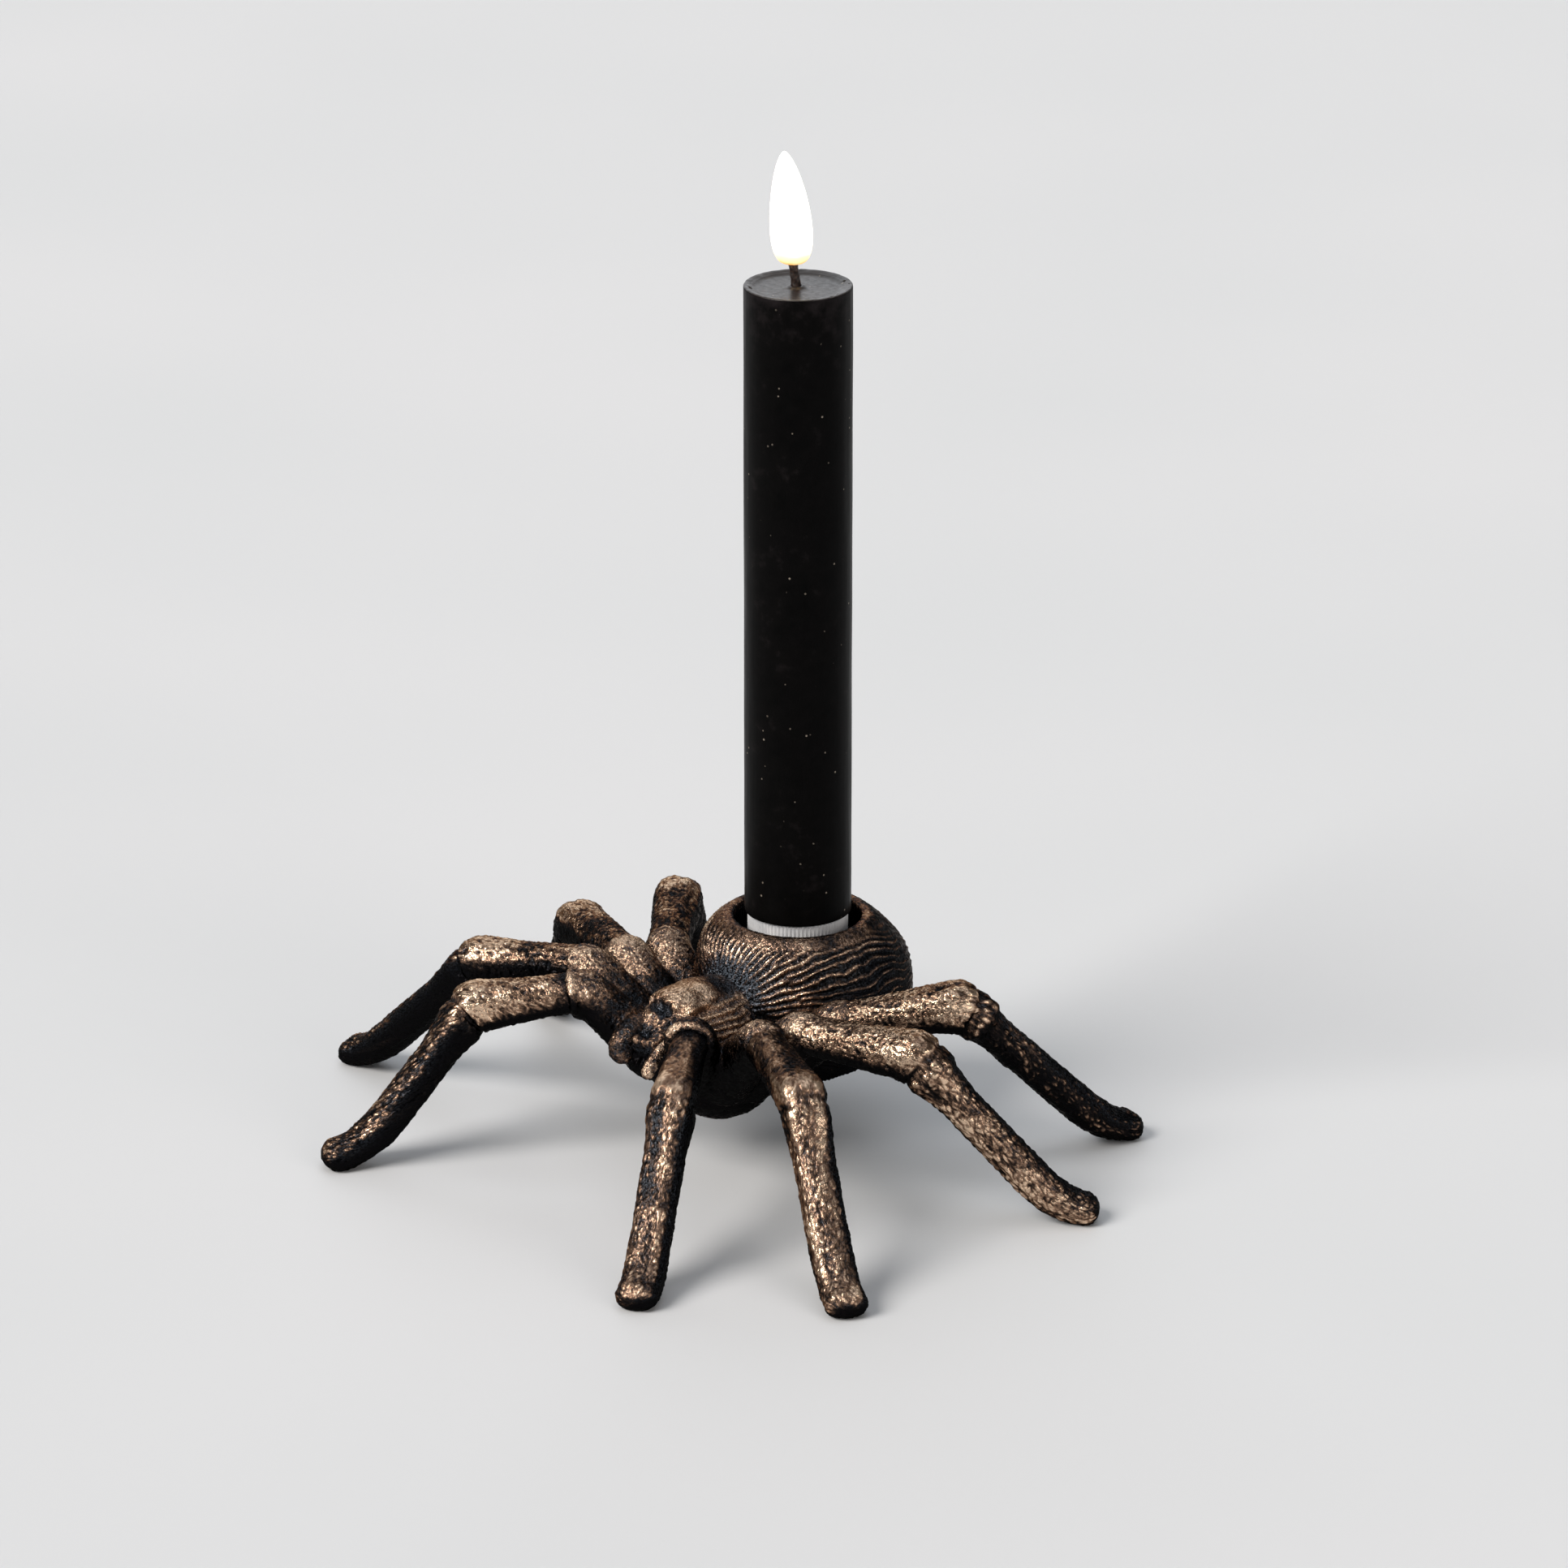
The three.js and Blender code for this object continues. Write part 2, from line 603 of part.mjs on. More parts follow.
function batteryCap() {
  const outline = new THREE.Shape();
  for (let i = 0; i < capRibs; i++) {
    for (const [share, radius] of [[0, capRibRadius], [0.5, capRibRadius - capRibDepth]]) {
      const angle = (i + share) / capRibs * 2 * Math.PI;
      outline[i + share === 0 ? 'moveTo' : 'lineTo'](radius * Math.cos(angle), radius * Math.sin(angle));
    }
  }
  outline.closePath();
  const ribbed = new THREE.ExtrudeGeometry(outline, { depth: capHeight, bevelEnabled: false });
  const hollow = turned([
    [0, capFloor],
    [ledge.radius, capFloor],
    [ledge.radius, ledge.z],
    [capBoreRadius, ledge.z],
    [capBoreRadius, capHeight + 1],
    [0, capHeight + 1],
  ]);
  let solid = solidOf(ribbed).subtract(hollow);
  const slotOuter = capRibRadius - capRibDepth - slotWall;
  const half = lug.spread / 2 + 2;
  const bottom = lug.z - bore;
  for (const angle of [0, 180]) {
    const run = ringSlice(capBoreRadius - 0.3, slotOuter, angle - twist - half, angle + half,
      bottom, lug.z + lug.height + bore);
    const entry = ringSlice(capBoreRadius - 0.3, slotOuter, angle - twist - half, angle - twist + half,
      bottom, capHeight + 1);
    solid = solid.subtract(run.add(entry));
  }
  const window = block(knob.length + knob.travel + 2 * bore, knob.width + 2 * bore, -1, capFloor + 1);
  const fingerHollow = block(knob.length + knob.travel + 3, knob.width + 2.4, -1, capFloor * 0.45);
  return solid.subtract(window).subtract(fingerHollow);
}

function switchHousing() {
  const base = capFloor + seatGap;
  const length = slider.length + knob.travel + 2 * bore;
  const width = slider.width + 2 * bore;
  const body = block(length + 2 * switchWall, width + 2 * switchWall, base, ledge.z);
  return body.subtract(block(length, width, base - 1, base + slider.thickness + bore));
}

// Shown switched on, at the -X end of its travel
function switchSlider() {
  const base = capFloor + seatGap;
  const x = -knob.travel / 2;
  const plate = block(slider.length, slider.width, base, base + slider.thickness, x);
  return plate.add(block(knob.length, knob.width, knob.recess, base + slider.thickness / 2, x));
}

// Contact cup in the foot: a disc on the ledge with a ring that meets the strip at any twist
function capContact() {
  const disc = ledge.z + seatGap;
  return turned([
    [0, disc],
    [capBoreRadius - bore, disc],
    [capBoreRadius - bore, disc + plateThickness],
    [contactRing.outer, disc + plateThickness],
    [contactRing.outer, neckStart - seatGap],
    [contactRing.inner, neckStart - seatGap],
    [contactRing.inner, disc + plateThickness],
    [0, disc + plateThickness],
  ]);
}

// Conical spring that presses the batteries up
class SpringCurve extends THREE.Curve {
  getPoint(share, target = new THREE.Vector3()) {
    const angle = share * spring.turns * 2 * Math.PI;
    const radius = spring.bottomRadius + (spring.topRadius - spring.bottomRadius) * share;
    const low = springZ + spring.wire;
    const high = springTop - spring.wire;
    return target.set(radius * Math.cos(angle), radius * Math.sin(angle), low + (high - low) * share);
  }
}

function capSpring() {
  const section = new THREE.Shape().absarc(0, 0, spring.wire, 0, 2 * Math.PI, false);
  const settings = { steps: 10 * spring.turns, curveSegments: 3, extrudePath: new SpringCurve() };
  return solidOf(new THREE.ExtrudeGeometry(section, settings));
}

// Holder
const holder = new THREE.Group();
holder.add(piece('abdomen_cup', abdomenCup(), bronzedMetal()));
holder.add(piece('cephalothorax', cephalothorax(), bronzedMetal()));
for (const [name, place] of Object.entries(legs)) holder.add(piece(name, leg(place), bronzedMetal()));
holder.add(piece('fang_left', fangPiece(1), bronzedMetal()));
holder.add(piece('fang_right', fangPiece(-1), bronzedMetal()));

// Foot cap, which twists off the candle
const foot = new THREE.Group();
foot.add(piece('battery_cap', batteryCap(), whitePlastic()));
foot.add(piece('cap_contact', capContact(), nickelSteel()));
foot.add(piece('cap_spring', capSpring(), nickelSteel()));
foot.add(piece('switch_housing', switchHousing(), blackPlastic()));
foot.add(piece('switch_slider', switchSlider(), blackPlastic()));

// Candle, standing on the floor of the cup
const candle = new THREE.Group();
candle.position.z = candleZ;
candle.add(foot);
candle.add(piece('wax_shell', waxShell(), blackWax()));
candle.add(piece('battery_tube', batteryTube(), whitePlastic()));
candle.add(piece('battery_lower', batteryCell(batteryStart), batterySleeve()));
candle.add(piece('battery_upper', batteryCell(batteryStart + battery.length + seatGap), batterySleeve()));
candle.add(piece('top_contact', topContact(), nickelSteel()));
candle.add(piece('contact_strip', contactStrip(), nickelSteel()));
candle.add(piece('circuit_board', circuitBoard(), boardGreen()));
candle.add(piece('timer_chip', timerChip(), blackPlastic()));
candle.add(piece('lead_wire_left', leadWire(1), blackPlastic()));
candle.add(piece('lead_wire_right', leadWire(-1), blackPlastic()));
candle.add(piece('wick_plug', wickPlug(), whitePlastic()));
candle.add(piece('wick_stem', wickStem(), blackPlastic()));
candle.add(piece('led', ledLamp(), glowingLens()));
candle.add(piece('flame_lens', flameLens(), glowingLens()));

// The whole, centred over the origin with its feet on z = 0
const part = new THREE.Group();
part.add(holder, candle);
part.updateMatrixWorld(true);
const middle = new THREE.Box3().setFromObject(part).getCenter(new THREE.Vector3());
part.position.set(-middle.x, -middle.y, 0);
part.updateMatrixWorld(true);

export default part;
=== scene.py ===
import json
import math

import bpy
import numpy as np
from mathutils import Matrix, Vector

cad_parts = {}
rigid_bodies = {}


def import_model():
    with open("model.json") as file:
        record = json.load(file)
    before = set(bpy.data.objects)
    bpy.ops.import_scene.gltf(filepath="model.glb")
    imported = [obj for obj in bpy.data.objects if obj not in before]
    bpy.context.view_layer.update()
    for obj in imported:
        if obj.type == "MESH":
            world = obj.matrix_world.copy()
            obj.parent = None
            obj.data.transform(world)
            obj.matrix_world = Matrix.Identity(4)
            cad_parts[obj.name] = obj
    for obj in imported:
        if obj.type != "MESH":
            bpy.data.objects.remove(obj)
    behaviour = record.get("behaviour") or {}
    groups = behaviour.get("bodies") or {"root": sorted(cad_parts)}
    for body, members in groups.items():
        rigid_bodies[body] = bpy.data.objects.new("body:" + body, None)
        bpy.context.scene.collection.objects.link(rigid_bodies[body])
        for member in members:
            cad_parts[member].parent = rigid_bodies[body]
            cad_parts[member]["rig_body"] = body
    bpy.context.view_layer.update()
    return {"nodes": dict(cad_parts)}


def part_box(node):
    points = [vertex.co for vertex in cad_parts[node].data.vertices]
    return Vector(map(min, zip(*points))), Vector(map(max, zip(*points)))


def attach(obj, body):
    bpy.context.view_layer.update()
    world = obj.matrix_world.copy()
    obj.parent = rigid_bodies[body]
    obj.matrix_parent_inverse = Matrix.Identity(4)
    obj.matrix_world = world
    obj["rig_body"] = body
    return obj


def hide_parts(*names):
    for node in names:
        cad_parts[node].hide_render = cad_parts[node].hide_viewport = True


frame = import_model()
nodes = frame["nodes"]
print("frame loaded:", len(nodes), "nodes")

# Shapes are worked out in millimetres and turned to metres when a mesh is made
mm = 0.001


def nodeBox(name):
    low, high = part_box(name)
    return np.array(low) / mm, np.array(high) / mm


waxLow, waxHigh = nodeBox("wax_shell")
axis = (waxLow[:2] + waxHigh[:2]) / 2  # where the candle stands


def spot(side, ahead, out, z):
    # A point of the spider: side is 1 for its left, ahead and out count from the candle's axis
    return np.array([axis[0] + side * out, axis[1] - ahead, z], float)


def unit(vector):
    return vector / np.linalg.norm(vector)


# Noise and soft steps as whole arrays

hashFactors = np.array([374761393, 668265263, 1442695041], np.uint64)  # one large odd number for each direction
hashRounds = ((13, 1274126177), (15, 2246822519))  # bits to shift by, and the factor after that


def latticeHash(cell, seed):
    # Mixes three whole numbers and a seed into 32 bits, and cuts three numbers from 0 to 1023 out of them
    bits = np.uint64(0xffffffff)
    mix = (cell.astype(np.int64).astype(np.uint64) * hashFactors).sum(axis=-1)
    mix = (mix + np.uint64(seed * 974711 + 12345)) & bits
    for shift, factor in hashRounds:
        mix = ((mix ^ (mix >> np.uint64(shift))) * np.uint64(factor)) & bits
    mix = mix ^ (mix >> np.uint64(16))
    return np.stack([(mix >> np.uint64(shift)) & np.uint64(1023) for shift in (0, 10, 20)], -1).astype(float)


def waves(points, size, seed):
    # Gradient noise from about -1 to 1: random slopes on a lattice of that size in mm, eased between corners
    p = np.asarray(points) / size
    base = np.floor(p)
    f = p - base
    ease = f * f * f * (f * (f * 6 - 15) + 10)
    total = np.zeros(len(p))
    for corner in np.ndindex(2, 2, 2):
        k = np.array(corner)
        slope = latticeHash(base + k, seed) / 511.5 - 1
        weight = np.prod(np.where(k == 1, ease, 1 - ease), axis=1)
        total += weight * np.sum(slope * (f - k), axis=1)
    return total * 1.5


def cells(points, size, seed):
    # Distances, as shares of the size in mm, to the nearest and second nearest of one random point per cell
    p = np.asarray(points) / size
    base = np.floor(p)
    near = np.full(len(p), 9.0)
    second = near.copy()
    for step in np.ndindex(3, 3, 3):
        cell = base + np.array(step) - 1
        d = np.linalg.norm(cell + latticeHash(cell, seed) / 1023 - p, axis=1)
        second = np.minimum(second, np.maximum(near, d))
        near = np.minimum(near, d)
    return near, second


def ease01(x, low, high):
    # 0 below low, 1 above high, an even S between them
    t = np.clip((np.asarray(x, float) - low) / (high - low), 0, 1)
    return t * t * (3 - 2 * t)


def bell(x, width):
    # 1 at 0, falling to 1 / e at the width
    return np.exp(-(x / width) ** 2)


def around(points, middle, radius):
    # The same in space: radius is a number, or one for each direction
    return np.exp(-np.sum(((points - middle) / radius) ** 2, axis=1))


# Meshes from grids

def bands(first, second, columns):
    # Quads between rings that close on themselves, from the numbers of the rings' first points
    c = np.arange(columns)
    c2 = (c + 1) % columns
    return np.stack([first + c, first + c2, second + c2, second + c], -1).reshape(-1, 4)


def fan(ring, point, columns):
    # Triangles from a ring to a point beyond it
    c = np.arange(columns)
    return np.stack([np.full(columns, point), ring + c, ring + (c + 1) % columns], -1)


def turnedOver(faces):
    return faces[:, [0, 2, 1]]


def closedGrid(rings):
    # A closed surface from rings of shape rows x columns x 3, with a middle point and a fan at each end
    rows, columns = rings.shape[:2]
    ends = np.stack([rings[0].mean(axis=0), rings[-1].mean(axis=0)])
    starts = np.arange(rows)[:, None] * columns
    tris = np.concatenate([turnedOver(fan(0, rows * columns, columns)),
                           fan((rows - 1) * columns, rows * columns + 1, columns)])
    return np.concatenate([rings.reshape(-1, 3), ends]), bands(starts[:-1], starts[1:], columns), tris


def turnedRings(radius, z, middles, columns):
    # Circles from columns of radii and heights, each round its own middle in plan
    angle = np.linspace(0, 2 * math.pi, columns, endpoint=False)
    x = middles[:, :1] + radius * np.cos(angle)
    y = middles[:, 1:2] + radius * np.sin(angle)
    return np.stack([x, y, np.broadcast_to(z, x.shape)], -1)


def vertexNormals(points, quads, tris):
    # Each face's normal, sized by its area, added up at its corners
    total = np.zeros_like(points)
    for faces in (quads, tris):
        if len(faces) == 0:
            continue
        a, b, c, d = (points[faces[:, i]] for i in (0, 1, 2, -1))
        normal = np.cross(c - a, d - b) if faces.shape[1] == 4 else np.cross(b - a, c - a)
        for i in range(faces.shape[1]):
            for k in range(3):
                total[:, k] += np.bincount(faces[:, i], normal[:, k], len(points))
    return total / np.maximum(np.linalg.norm(total, axis=1, keepdims=True), 1e-12)


def linked(name, data):
    thing = bpy.data.objects.new(name, data)
    bpy.context.scene.collection.objects.link(thing)
    return thing


def meshPiece(name, points, quads, tris, attributes=None):
    # A smooth mesh object in metres from millimetre points, with an attribute for each named array
    mesh = bpy.data.meshes.new(name)
    loops = np.concatenate([quads.ravel(), tris.ravel()]).astype(np.int32)
    sizes = np.concatenate([np.full(len(quads), 4), np.full(len(tris), 3)])
    starts = np.concatenate([[0], np.cumsum(sizes)[:-1]]).astype(np.int32)
    mesh.vertices.add(len(points))
    mesh.vertices.foreach_set("co", (points * mm).astype(np.float32).ravel())
    mesh.loops.add(len(loops))
    mesh.loops.foreach_set("vertex_index", loops)
    mesh.polygons.add(len(sizes))
    mesh.polygons.foreach_set("loop_start", starts)
    mesh.update(calc_edges=True)
    mesh.validate()
    mesh.polygons.foreach_set("use_smooth", np.ones(len(mesh.polygons), bool))
    for key, values in (attributes or {}).items():
        kind, field = ("FLOAT", "value") if values.ndim == 1 else ("FLOAT_VECTOR", "vector")
        mesh.attributes.new(key, kind, "POINT").data.foreach_set(field, values.astype(np.float32).ravel())
    return linked(name, mesh)


def dress(piece, material, node):
    # The piece stands for a CAD node: same body, that node hidden
    piece.data.materials.append(material)
    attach(piece, nodes[node]["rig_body"])
    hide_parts(node)


# Materials

def hexColour(code):
    # sRGB hex to the linear colour that the shader takes
    parts = [int(code[i:i + 2], 16) / 255 for i in (1, 3, 5)]
    return tuple(c / 12.92 if c <= 0.04045 else ((c + 0.055) / 1.055) ** 2.4 for c in parts) + (1.0,)


def nodeAdder(tree):
    # Gives the function that adds a node to this tree. Inputs, by name or in order, are fixed values, sockets,
    # or nodes whose first output is meant; stops are a colour ramp's places and sRGB codes
    def add(kind, inputs=(), stops=(), **settings):
        node = tree.nodes.new("ShaderNode" + kind)
        for key, value in settings.items():
            setattr(node, key, value)
        for key, value in (inputs.items() if isinstance(inputs, dict) else enumerate(inputs)):
            if isinstance(value, bpy.types.Node):
                value = value.outputs[0]
            if isinstance(value, bpy.types.NodeSocket):
                tree.links.new(value, node.inputs[key])
            else:
                node.inputs[key].default_value = value
        if stops:
            elements = node.color_ramp.elements
            while len(elements) < len(stops):
                elements.new(0.5)
            for element, (place, code) in zip(elements, stops):
                element.position, element.color = place, hexColour(code)
        return node
    return add


def newMaterial(name):
    # An empty material, its node adder, and the piece's own coordinates
    material = bpy.data.materials.new(name)
    material.use_nodes = True
    material.node_tree.nodes.clear()
    add = nodeAdder(material.node_tree)
    return material, add, add("TexCoord").outputs["Object"]


def shaded(material, add, inputs):
    # Ends a material with its shader and output
    add("OutputMaterial", {"Surface": add("BsdfPrincipled", inputs)})
    return material


patina = {
    "recess": "#070608",  # waxed black left in the hollows
    "dark": "#171312",
    "brown": "#40322a",
    "bronze": "#91735e",
    "bright": "#e6c7aa",
    # how worn the metal is at each of these colours, from 0 to 1, with painted light and shade taken in
    "stops": {"recess": 0.16, "dark": 0.38, "brown": 0.56, "bronze": 0.8, "bright": 1.0},
    "reliefAndShade": 0.66, "rub": 0.64, "wornMost": 0.94,  # their shares in the wear, and its limit before the flecks
    "fleckMm": 0.6, "fleck": 1.9, "fineMm": 0.26, "fine": 0.3,
    "fleckRange": (0.85, 1.35), "fleckWear": (-0.14, 0.11),
    "patchMm": 3.8, "patchWear": 0.2, "patchDraw": (0.4, 1.0, 1.0),  # patches are longer along a limb
    "calmFlecks": 0.3, "calmPatches": (0.8, 1.3),  # how strong both are where the metal is calm
    "dustAndSheen": "#757f8c", "dustAndSheenMost": 0.85, "dustAndSheenRange": (0.42, 0.62),  # bluish polish residue in deep creases, and a painted bluish sheen on dark metal that looks up
    "roughShade": 0.8, "roughHollow": 0.26, "roughCrest": 0.17, "roughCalm": 0.22,
    "specular": 0.14, "tint": "#8a8078", "coat": 0.07, "coatRough": 0.2, "bumpMm": 0.21,
}


def rubbedBronze():
    # Cast metal, blackened and waxed, then rubbed back by hand: raised flecks read as warm copper bronze, while
    # hollows stay near black; undersides are near black partly from that patina and partly as painted shade.
    # The mesh carries relief, rub, dust and calm from 0 to 1, and skin, the surface's own place in mm. Relief
    # and rub also carry
    # painted light and shade: faces that look the chosen ways are painted brighter, low and downward faces
    # darker. Dust also carries a painted bluish sheen where the metal looks up. Where it is calm, the flecks
    # are weaker and the metal is duller.
    material, add, _ = newMaterial("rubbed_bronze")
    p = patina
    reliefAndShade, rub, dustAndSheen, calm = (add("Attribute", attribute_name=key).outputs["Fac"]
                               for key in ("reliefAndShade", "rub", "dustAndSheen", "calm"))
    skin = add("Attribute", attribute_name="skin").outputs["Vector"]
    drawnOut = add("Mapping", {"Vector": skin, "Scale": p["patchDraw"]})
    fleck = add("TexNoise", {"Vector": skin, "Scale": 1 / p["fleckMm"], "Roughness": 0.6})
    fine = add("TexNoise", {"Vector": skin, "Scale": 1 / p["fineMm"], "Detail": 1.0})
    patch = add("TexNoise", {"Vector": drawnOut, "Scale": 1 / p["patchMm"]})

    crest = add("Math", (fine, p["fine"]), operation="MULTIPLY")
    crest = add("Math", (fleck, p["fleck"], crest), operation="MULTIPLY_ADD")
    wornAndLit = add("Math", (rub, p["rub"]), operation="MULTIPLY")
    wornAndLit = add("Math", (reliefAndShade, p["reliefAndShade"], wornAndLit), operation="MULTIPLY_ADD")
    wornAndLit = add("Math", (wornAndLit, p["wornMost"]), operation="MINIMUM")
    lively = add("MapRange", (calm, 0.0, 1.0, 1.0, p["calmFlecks"]))
    flecks = add("MapRange", (crest, *p["fleckRange"], *p["fleckWear"]))
    wornAndLit = add("Math", (lively, flecks, wornAndLit), operation="MULTIPLY_ADD")
    patches = add("MapRange", (patch, 0.3, 0.7, -p["patchWear"], p["patchWear"]))
    patchShare = add("MapRange", (calm, 0.0, 1.0, *p["calmPatches"]))
    wornAndLit = add("Math", (patchShare, patches, wornAndLit), operation="MULTIPLY_ADD")

    metal = add("ValToRGB", (wornAndLit,), [(place, p[key]) for key, place in p["stops"].items()])
    dustAndSheenGrain = add("MapRange", (fine, *p["dustAndSheenRange"], 0.0, p["dustAndSheenMost"]))
    powderAndSheen = add("Math", (dustAndSheen, dustAndSheenGrain), operation="MULTIPLY")
    mixed = add("Mix", {"Factor": powderAndSheen, "A": metal, "B": hexColour(p["dustAndSheen"])}, data_type="RGBA")
    inShade = add("MapRange", (wornAndLit, 0.0, 0.3, p["roughShade"], p["roughHollow"]))
    onCrest = add("MapRange", (wornAndLit, 0.3, 0.9, p["roughHollow"], p["roughCrest"]))
    rough = add("Math", (inShade, onCrest), operation="MINIMUM")
    rough = add("Math", (rough, add("MapRange", (calm, 0.0, 1.0, 0.0, p["roughCalm"]))), operation="ADD")
    strength = add("Math", (lively, add("MapRange", (wornAndLit, 0.05, 0.45, 0.25, 1.0))), operation="MULTIPLY")
    bump = add("Bump", {"Height": crest, "Distance": p["bumpMm"] * mm, "Strength": strength})
    return shaded(material, add, {
        "Base Color": mixed.outputs["Result"], "Metallic": add("MapRange", (powderAndSheen, 0.0, 0.6, 1.0, 0.1)),
        "Roughness": rough, "Specular IOR Level": p["specular"], "Specular Tint": hexColour(p["tint"]),
        "Coat Weight": p["coat"], "Coat Roughness": p["coatRough"], "Normal": bump, "Coat Normal": bump})


bronze = rubbedBronze()
print("bronze made")

# Sculpted metal

cast = {
    "lumpMm": 5.0, "lump": 0.2,  # slow unevenness of the wax model
    "pebbleMm": 1.05, "pebble": 0.36,  # hammered bumps
    "bendMm": 1.6, "bend": 0.45,  # how far the bumps' outlines wander
    "valley": 0.6, "foldSize": 1.3, "foldEdge": 2.2,  # their sharp valleys, and the worm-like folds across them
    "nickMm": 0.55, "nick": 0.07,
    "furrowMm": 2.1, "furrow": 0.4,  # grooves down the shins
    "face": (0.45, 0.0, 0.7),  # most rubbed, and painted as lit: faces that look ahead, out to the left and up by these shares
    "toCamera": (0.70, -0.62, 0.35),  # from the spider to the photograph's camera
}


def pebbles(flat, seed, coarse=1.0, beads=0.5):
    # Hammered skin from -1 to 1: rounded cells with sharp valleys, crossed by worm-like folds. flat holds the
    # points in mm along the skin, stretched where the marks are long, and beads is the cells' share
    bend = np.stack([waves(flat, cast["bendMm"], seed + k) for k in (11, 12, 13)], -1) * cast["bend"]
    size = cast["pebbleMm"] * coarse
    near, second = cells(flat + bend, size, seed)
    cell = np.clip(second - near, 0, cast["valley"]) / cast["valley"]
    fold = 1 - cast["foldEdge"] * np.abs(waves(flat + bend, size * cast["foldSize"], seed + 5))
    return beads * cell + (1 - beads) * np.clip(fold, -1, 1)


def crestLine(phase):
    # Sharp ridges at whole numbers with broad valleys between, 0 to 1
    return 1 - np.abs(np.sin(math.pi * phase)) ** 0.75


def relax(points, quads, turns, share=0.5):
    # Moves each point towards the mean of its neighbours along the quads' edges
    a, b = np.concatenate([quads[:, [i, (i + 1) % 4]] for i in range(4)]).T
    size = len(points)
    count = np.maximum(np.bincount(a, minlength=size) + np.bincount(b, minlength=size), 1)
    for _ in range(turns):
        total = np.stack([np.bincount(a, points[b, k], size) + np.bincount(b, points[a, k], size)
                          for k in range(3)], -1)
        points = points + share * (total / count[:, None] - points)
    return points


def wornAndLitFacing(normals, face=cast["face"], low=0.0, high=0.5):
    # Where cloth and hands reach, and where light is painted on: surfaces that look the given way are worn
    # brighter and painted as lit
    ahead, out, up = face
    return ease01(up * normals[:, 2] - ahead * normals[:, 1] + out * normals[:, 0], low, high)


def farSide(normals):
    # Surfaces that look away from the photograph's camera and not down, where its wear can only be continued
    return ease01(-normals @ np.array(cast["toCamera"]), 0.0, 0.3) * ease01(normals[:, 2], -0.15, 0.35)


def metalPiece(name, mesh, reliefAndShade, rub, dustAndSheen, skin, calm):
    # A piece with what the bronze reads from it
    shares = {"reliefAndShade": reliefAndShade, "rub": rub, "dustAndSheen": dustAndSheen, "calm": calm}
    attributes = {key: np.clip(values, 0, 1) for key, values in shares.items()}
    return meshPiece(name, *mesh, {**attributes, "skin": skin})


def dressMetal(piece, node):
    dress(piece, bronze, node)


# Abdomen with its cup

abdomen = {
    "radius": 22.4, "halfHeight": 19.7, "centreZ": 30.1, "setBack": 1.5, "shoulder": 2.35,
    "mouth": 13.15, "lip": 0.9, "crest": 14.4, "rimZ": 46.2, "depth": 21.1, "floorRadius": 10.9, "columns": 440,
    "ridges": (38, 62, 88),  # round the front-to-back line: near its poles, between, and at the widest
    "changes": ((0.42, 0.5), (0.7, 0.8)),  # shares of the radius where the next number of ridges takes over
    "ridgeHeight": 0.6, "ridgeTop": (43.4, 45.3), "breaks": 0.4, "tailFlat": 0.45,
    "waves": ((1.4, 10), (0.36, 3.6)),  # how far and over how many mm the ridges wander
    "skin": 0.15, "lumps": 0.1, "cupDark": 0.12,
    "rub": 0.66, "farRub": 0.35, "rimRub": 0.2, "lowRubAndShade": 0.5, "waistRub": 0.3,
    "waist": (19.5, 4, 37.5), "waistSize": (7, 4, 4.5),  # grey dust lies there
}


def bent(start, bend, end, steps):
    # Points after the start of a curve that leaves it towards the bend and comes to the end from there
    s = np.linspace(0, 1, steps + 1)[1:, None]
    return (1 - s) ** 2 * np.array(start) + 2 * s * (1 - s) * np.array(bend) + s ** 2 * np.array(end)


def profilePart(radius, z):
    # Points of a profile, from radii and heights or one number for all
    return np.stack(np.broadcast_arrays(radius, z), -1)


def abdomenRings():
    # A profile turned round the candle's axis: an ellipse below its middle, above it the fuller curve
    # (r / radius)^shoulder + (z / halfHeight)^shoulder = 1, then the rounded rim, the tapered bore and the
    # floor. Its middle lies behind the axis and slides onto it towards the rim.
    a = abdomen
    power = 2 / a["shoulder"]
    lipZ, rimZ, floorZ = a["rimZ"] - a["lip"], a["rimZ"], a["rimZ"] - a["depth"]
    tTop = math.asin(((lipZ - a["centreZ"]) / a["halfHeight"]) ** (1 / power))
    t = np.linspace(-math.pi / 2 + 0.012, tTop, 172)
    fuller = np.where(t > 0, power, 1.0)
    rise = np.sign(t) * np.abs(np.sin(t)) ** fuller
    outer = profilePart(a["radius"] * np.cos(t) ** fuller, a["centreZ"] + a["halfHeight"] * rise)
    run, climb = outer[-1] - outer[-2]
    shoulder = bent(outer[-1], (outer[-1, 0] + a["lip"] * run / climb, rimZ), (a["crest"], rimZ), 10)
    edge = bent((a["crest"], rimZ), (a["mouth"] + 0.1, rimZ), (a["mouth"], lipZ + 0.2), 12)
    wall = profilePart(np.linspace(a["mouth"], a["floorRadius"], 18), np.linspace(lipZ, floorZ, 18))
    floor = profilePart(a["floorRadius"] * np.linspace(1, 0.05, 9)[1:], floorZ)
    profile = np.concatenate([outer, shoulder, edge, wall, floor])
    outerRows = len(outer) + len(shoulder)
    slide = a["setBack"] * (1 - ease01(profile[:, 1], 36, 44)) * (np.arange(len(profile)) < outerRows)
    middles = axis + slide[:, None] * [0, 1]
    return turnedRings(profile[:, :1], profile[:, 1:], middles, a["columns"]), outerRows * a["columns"]


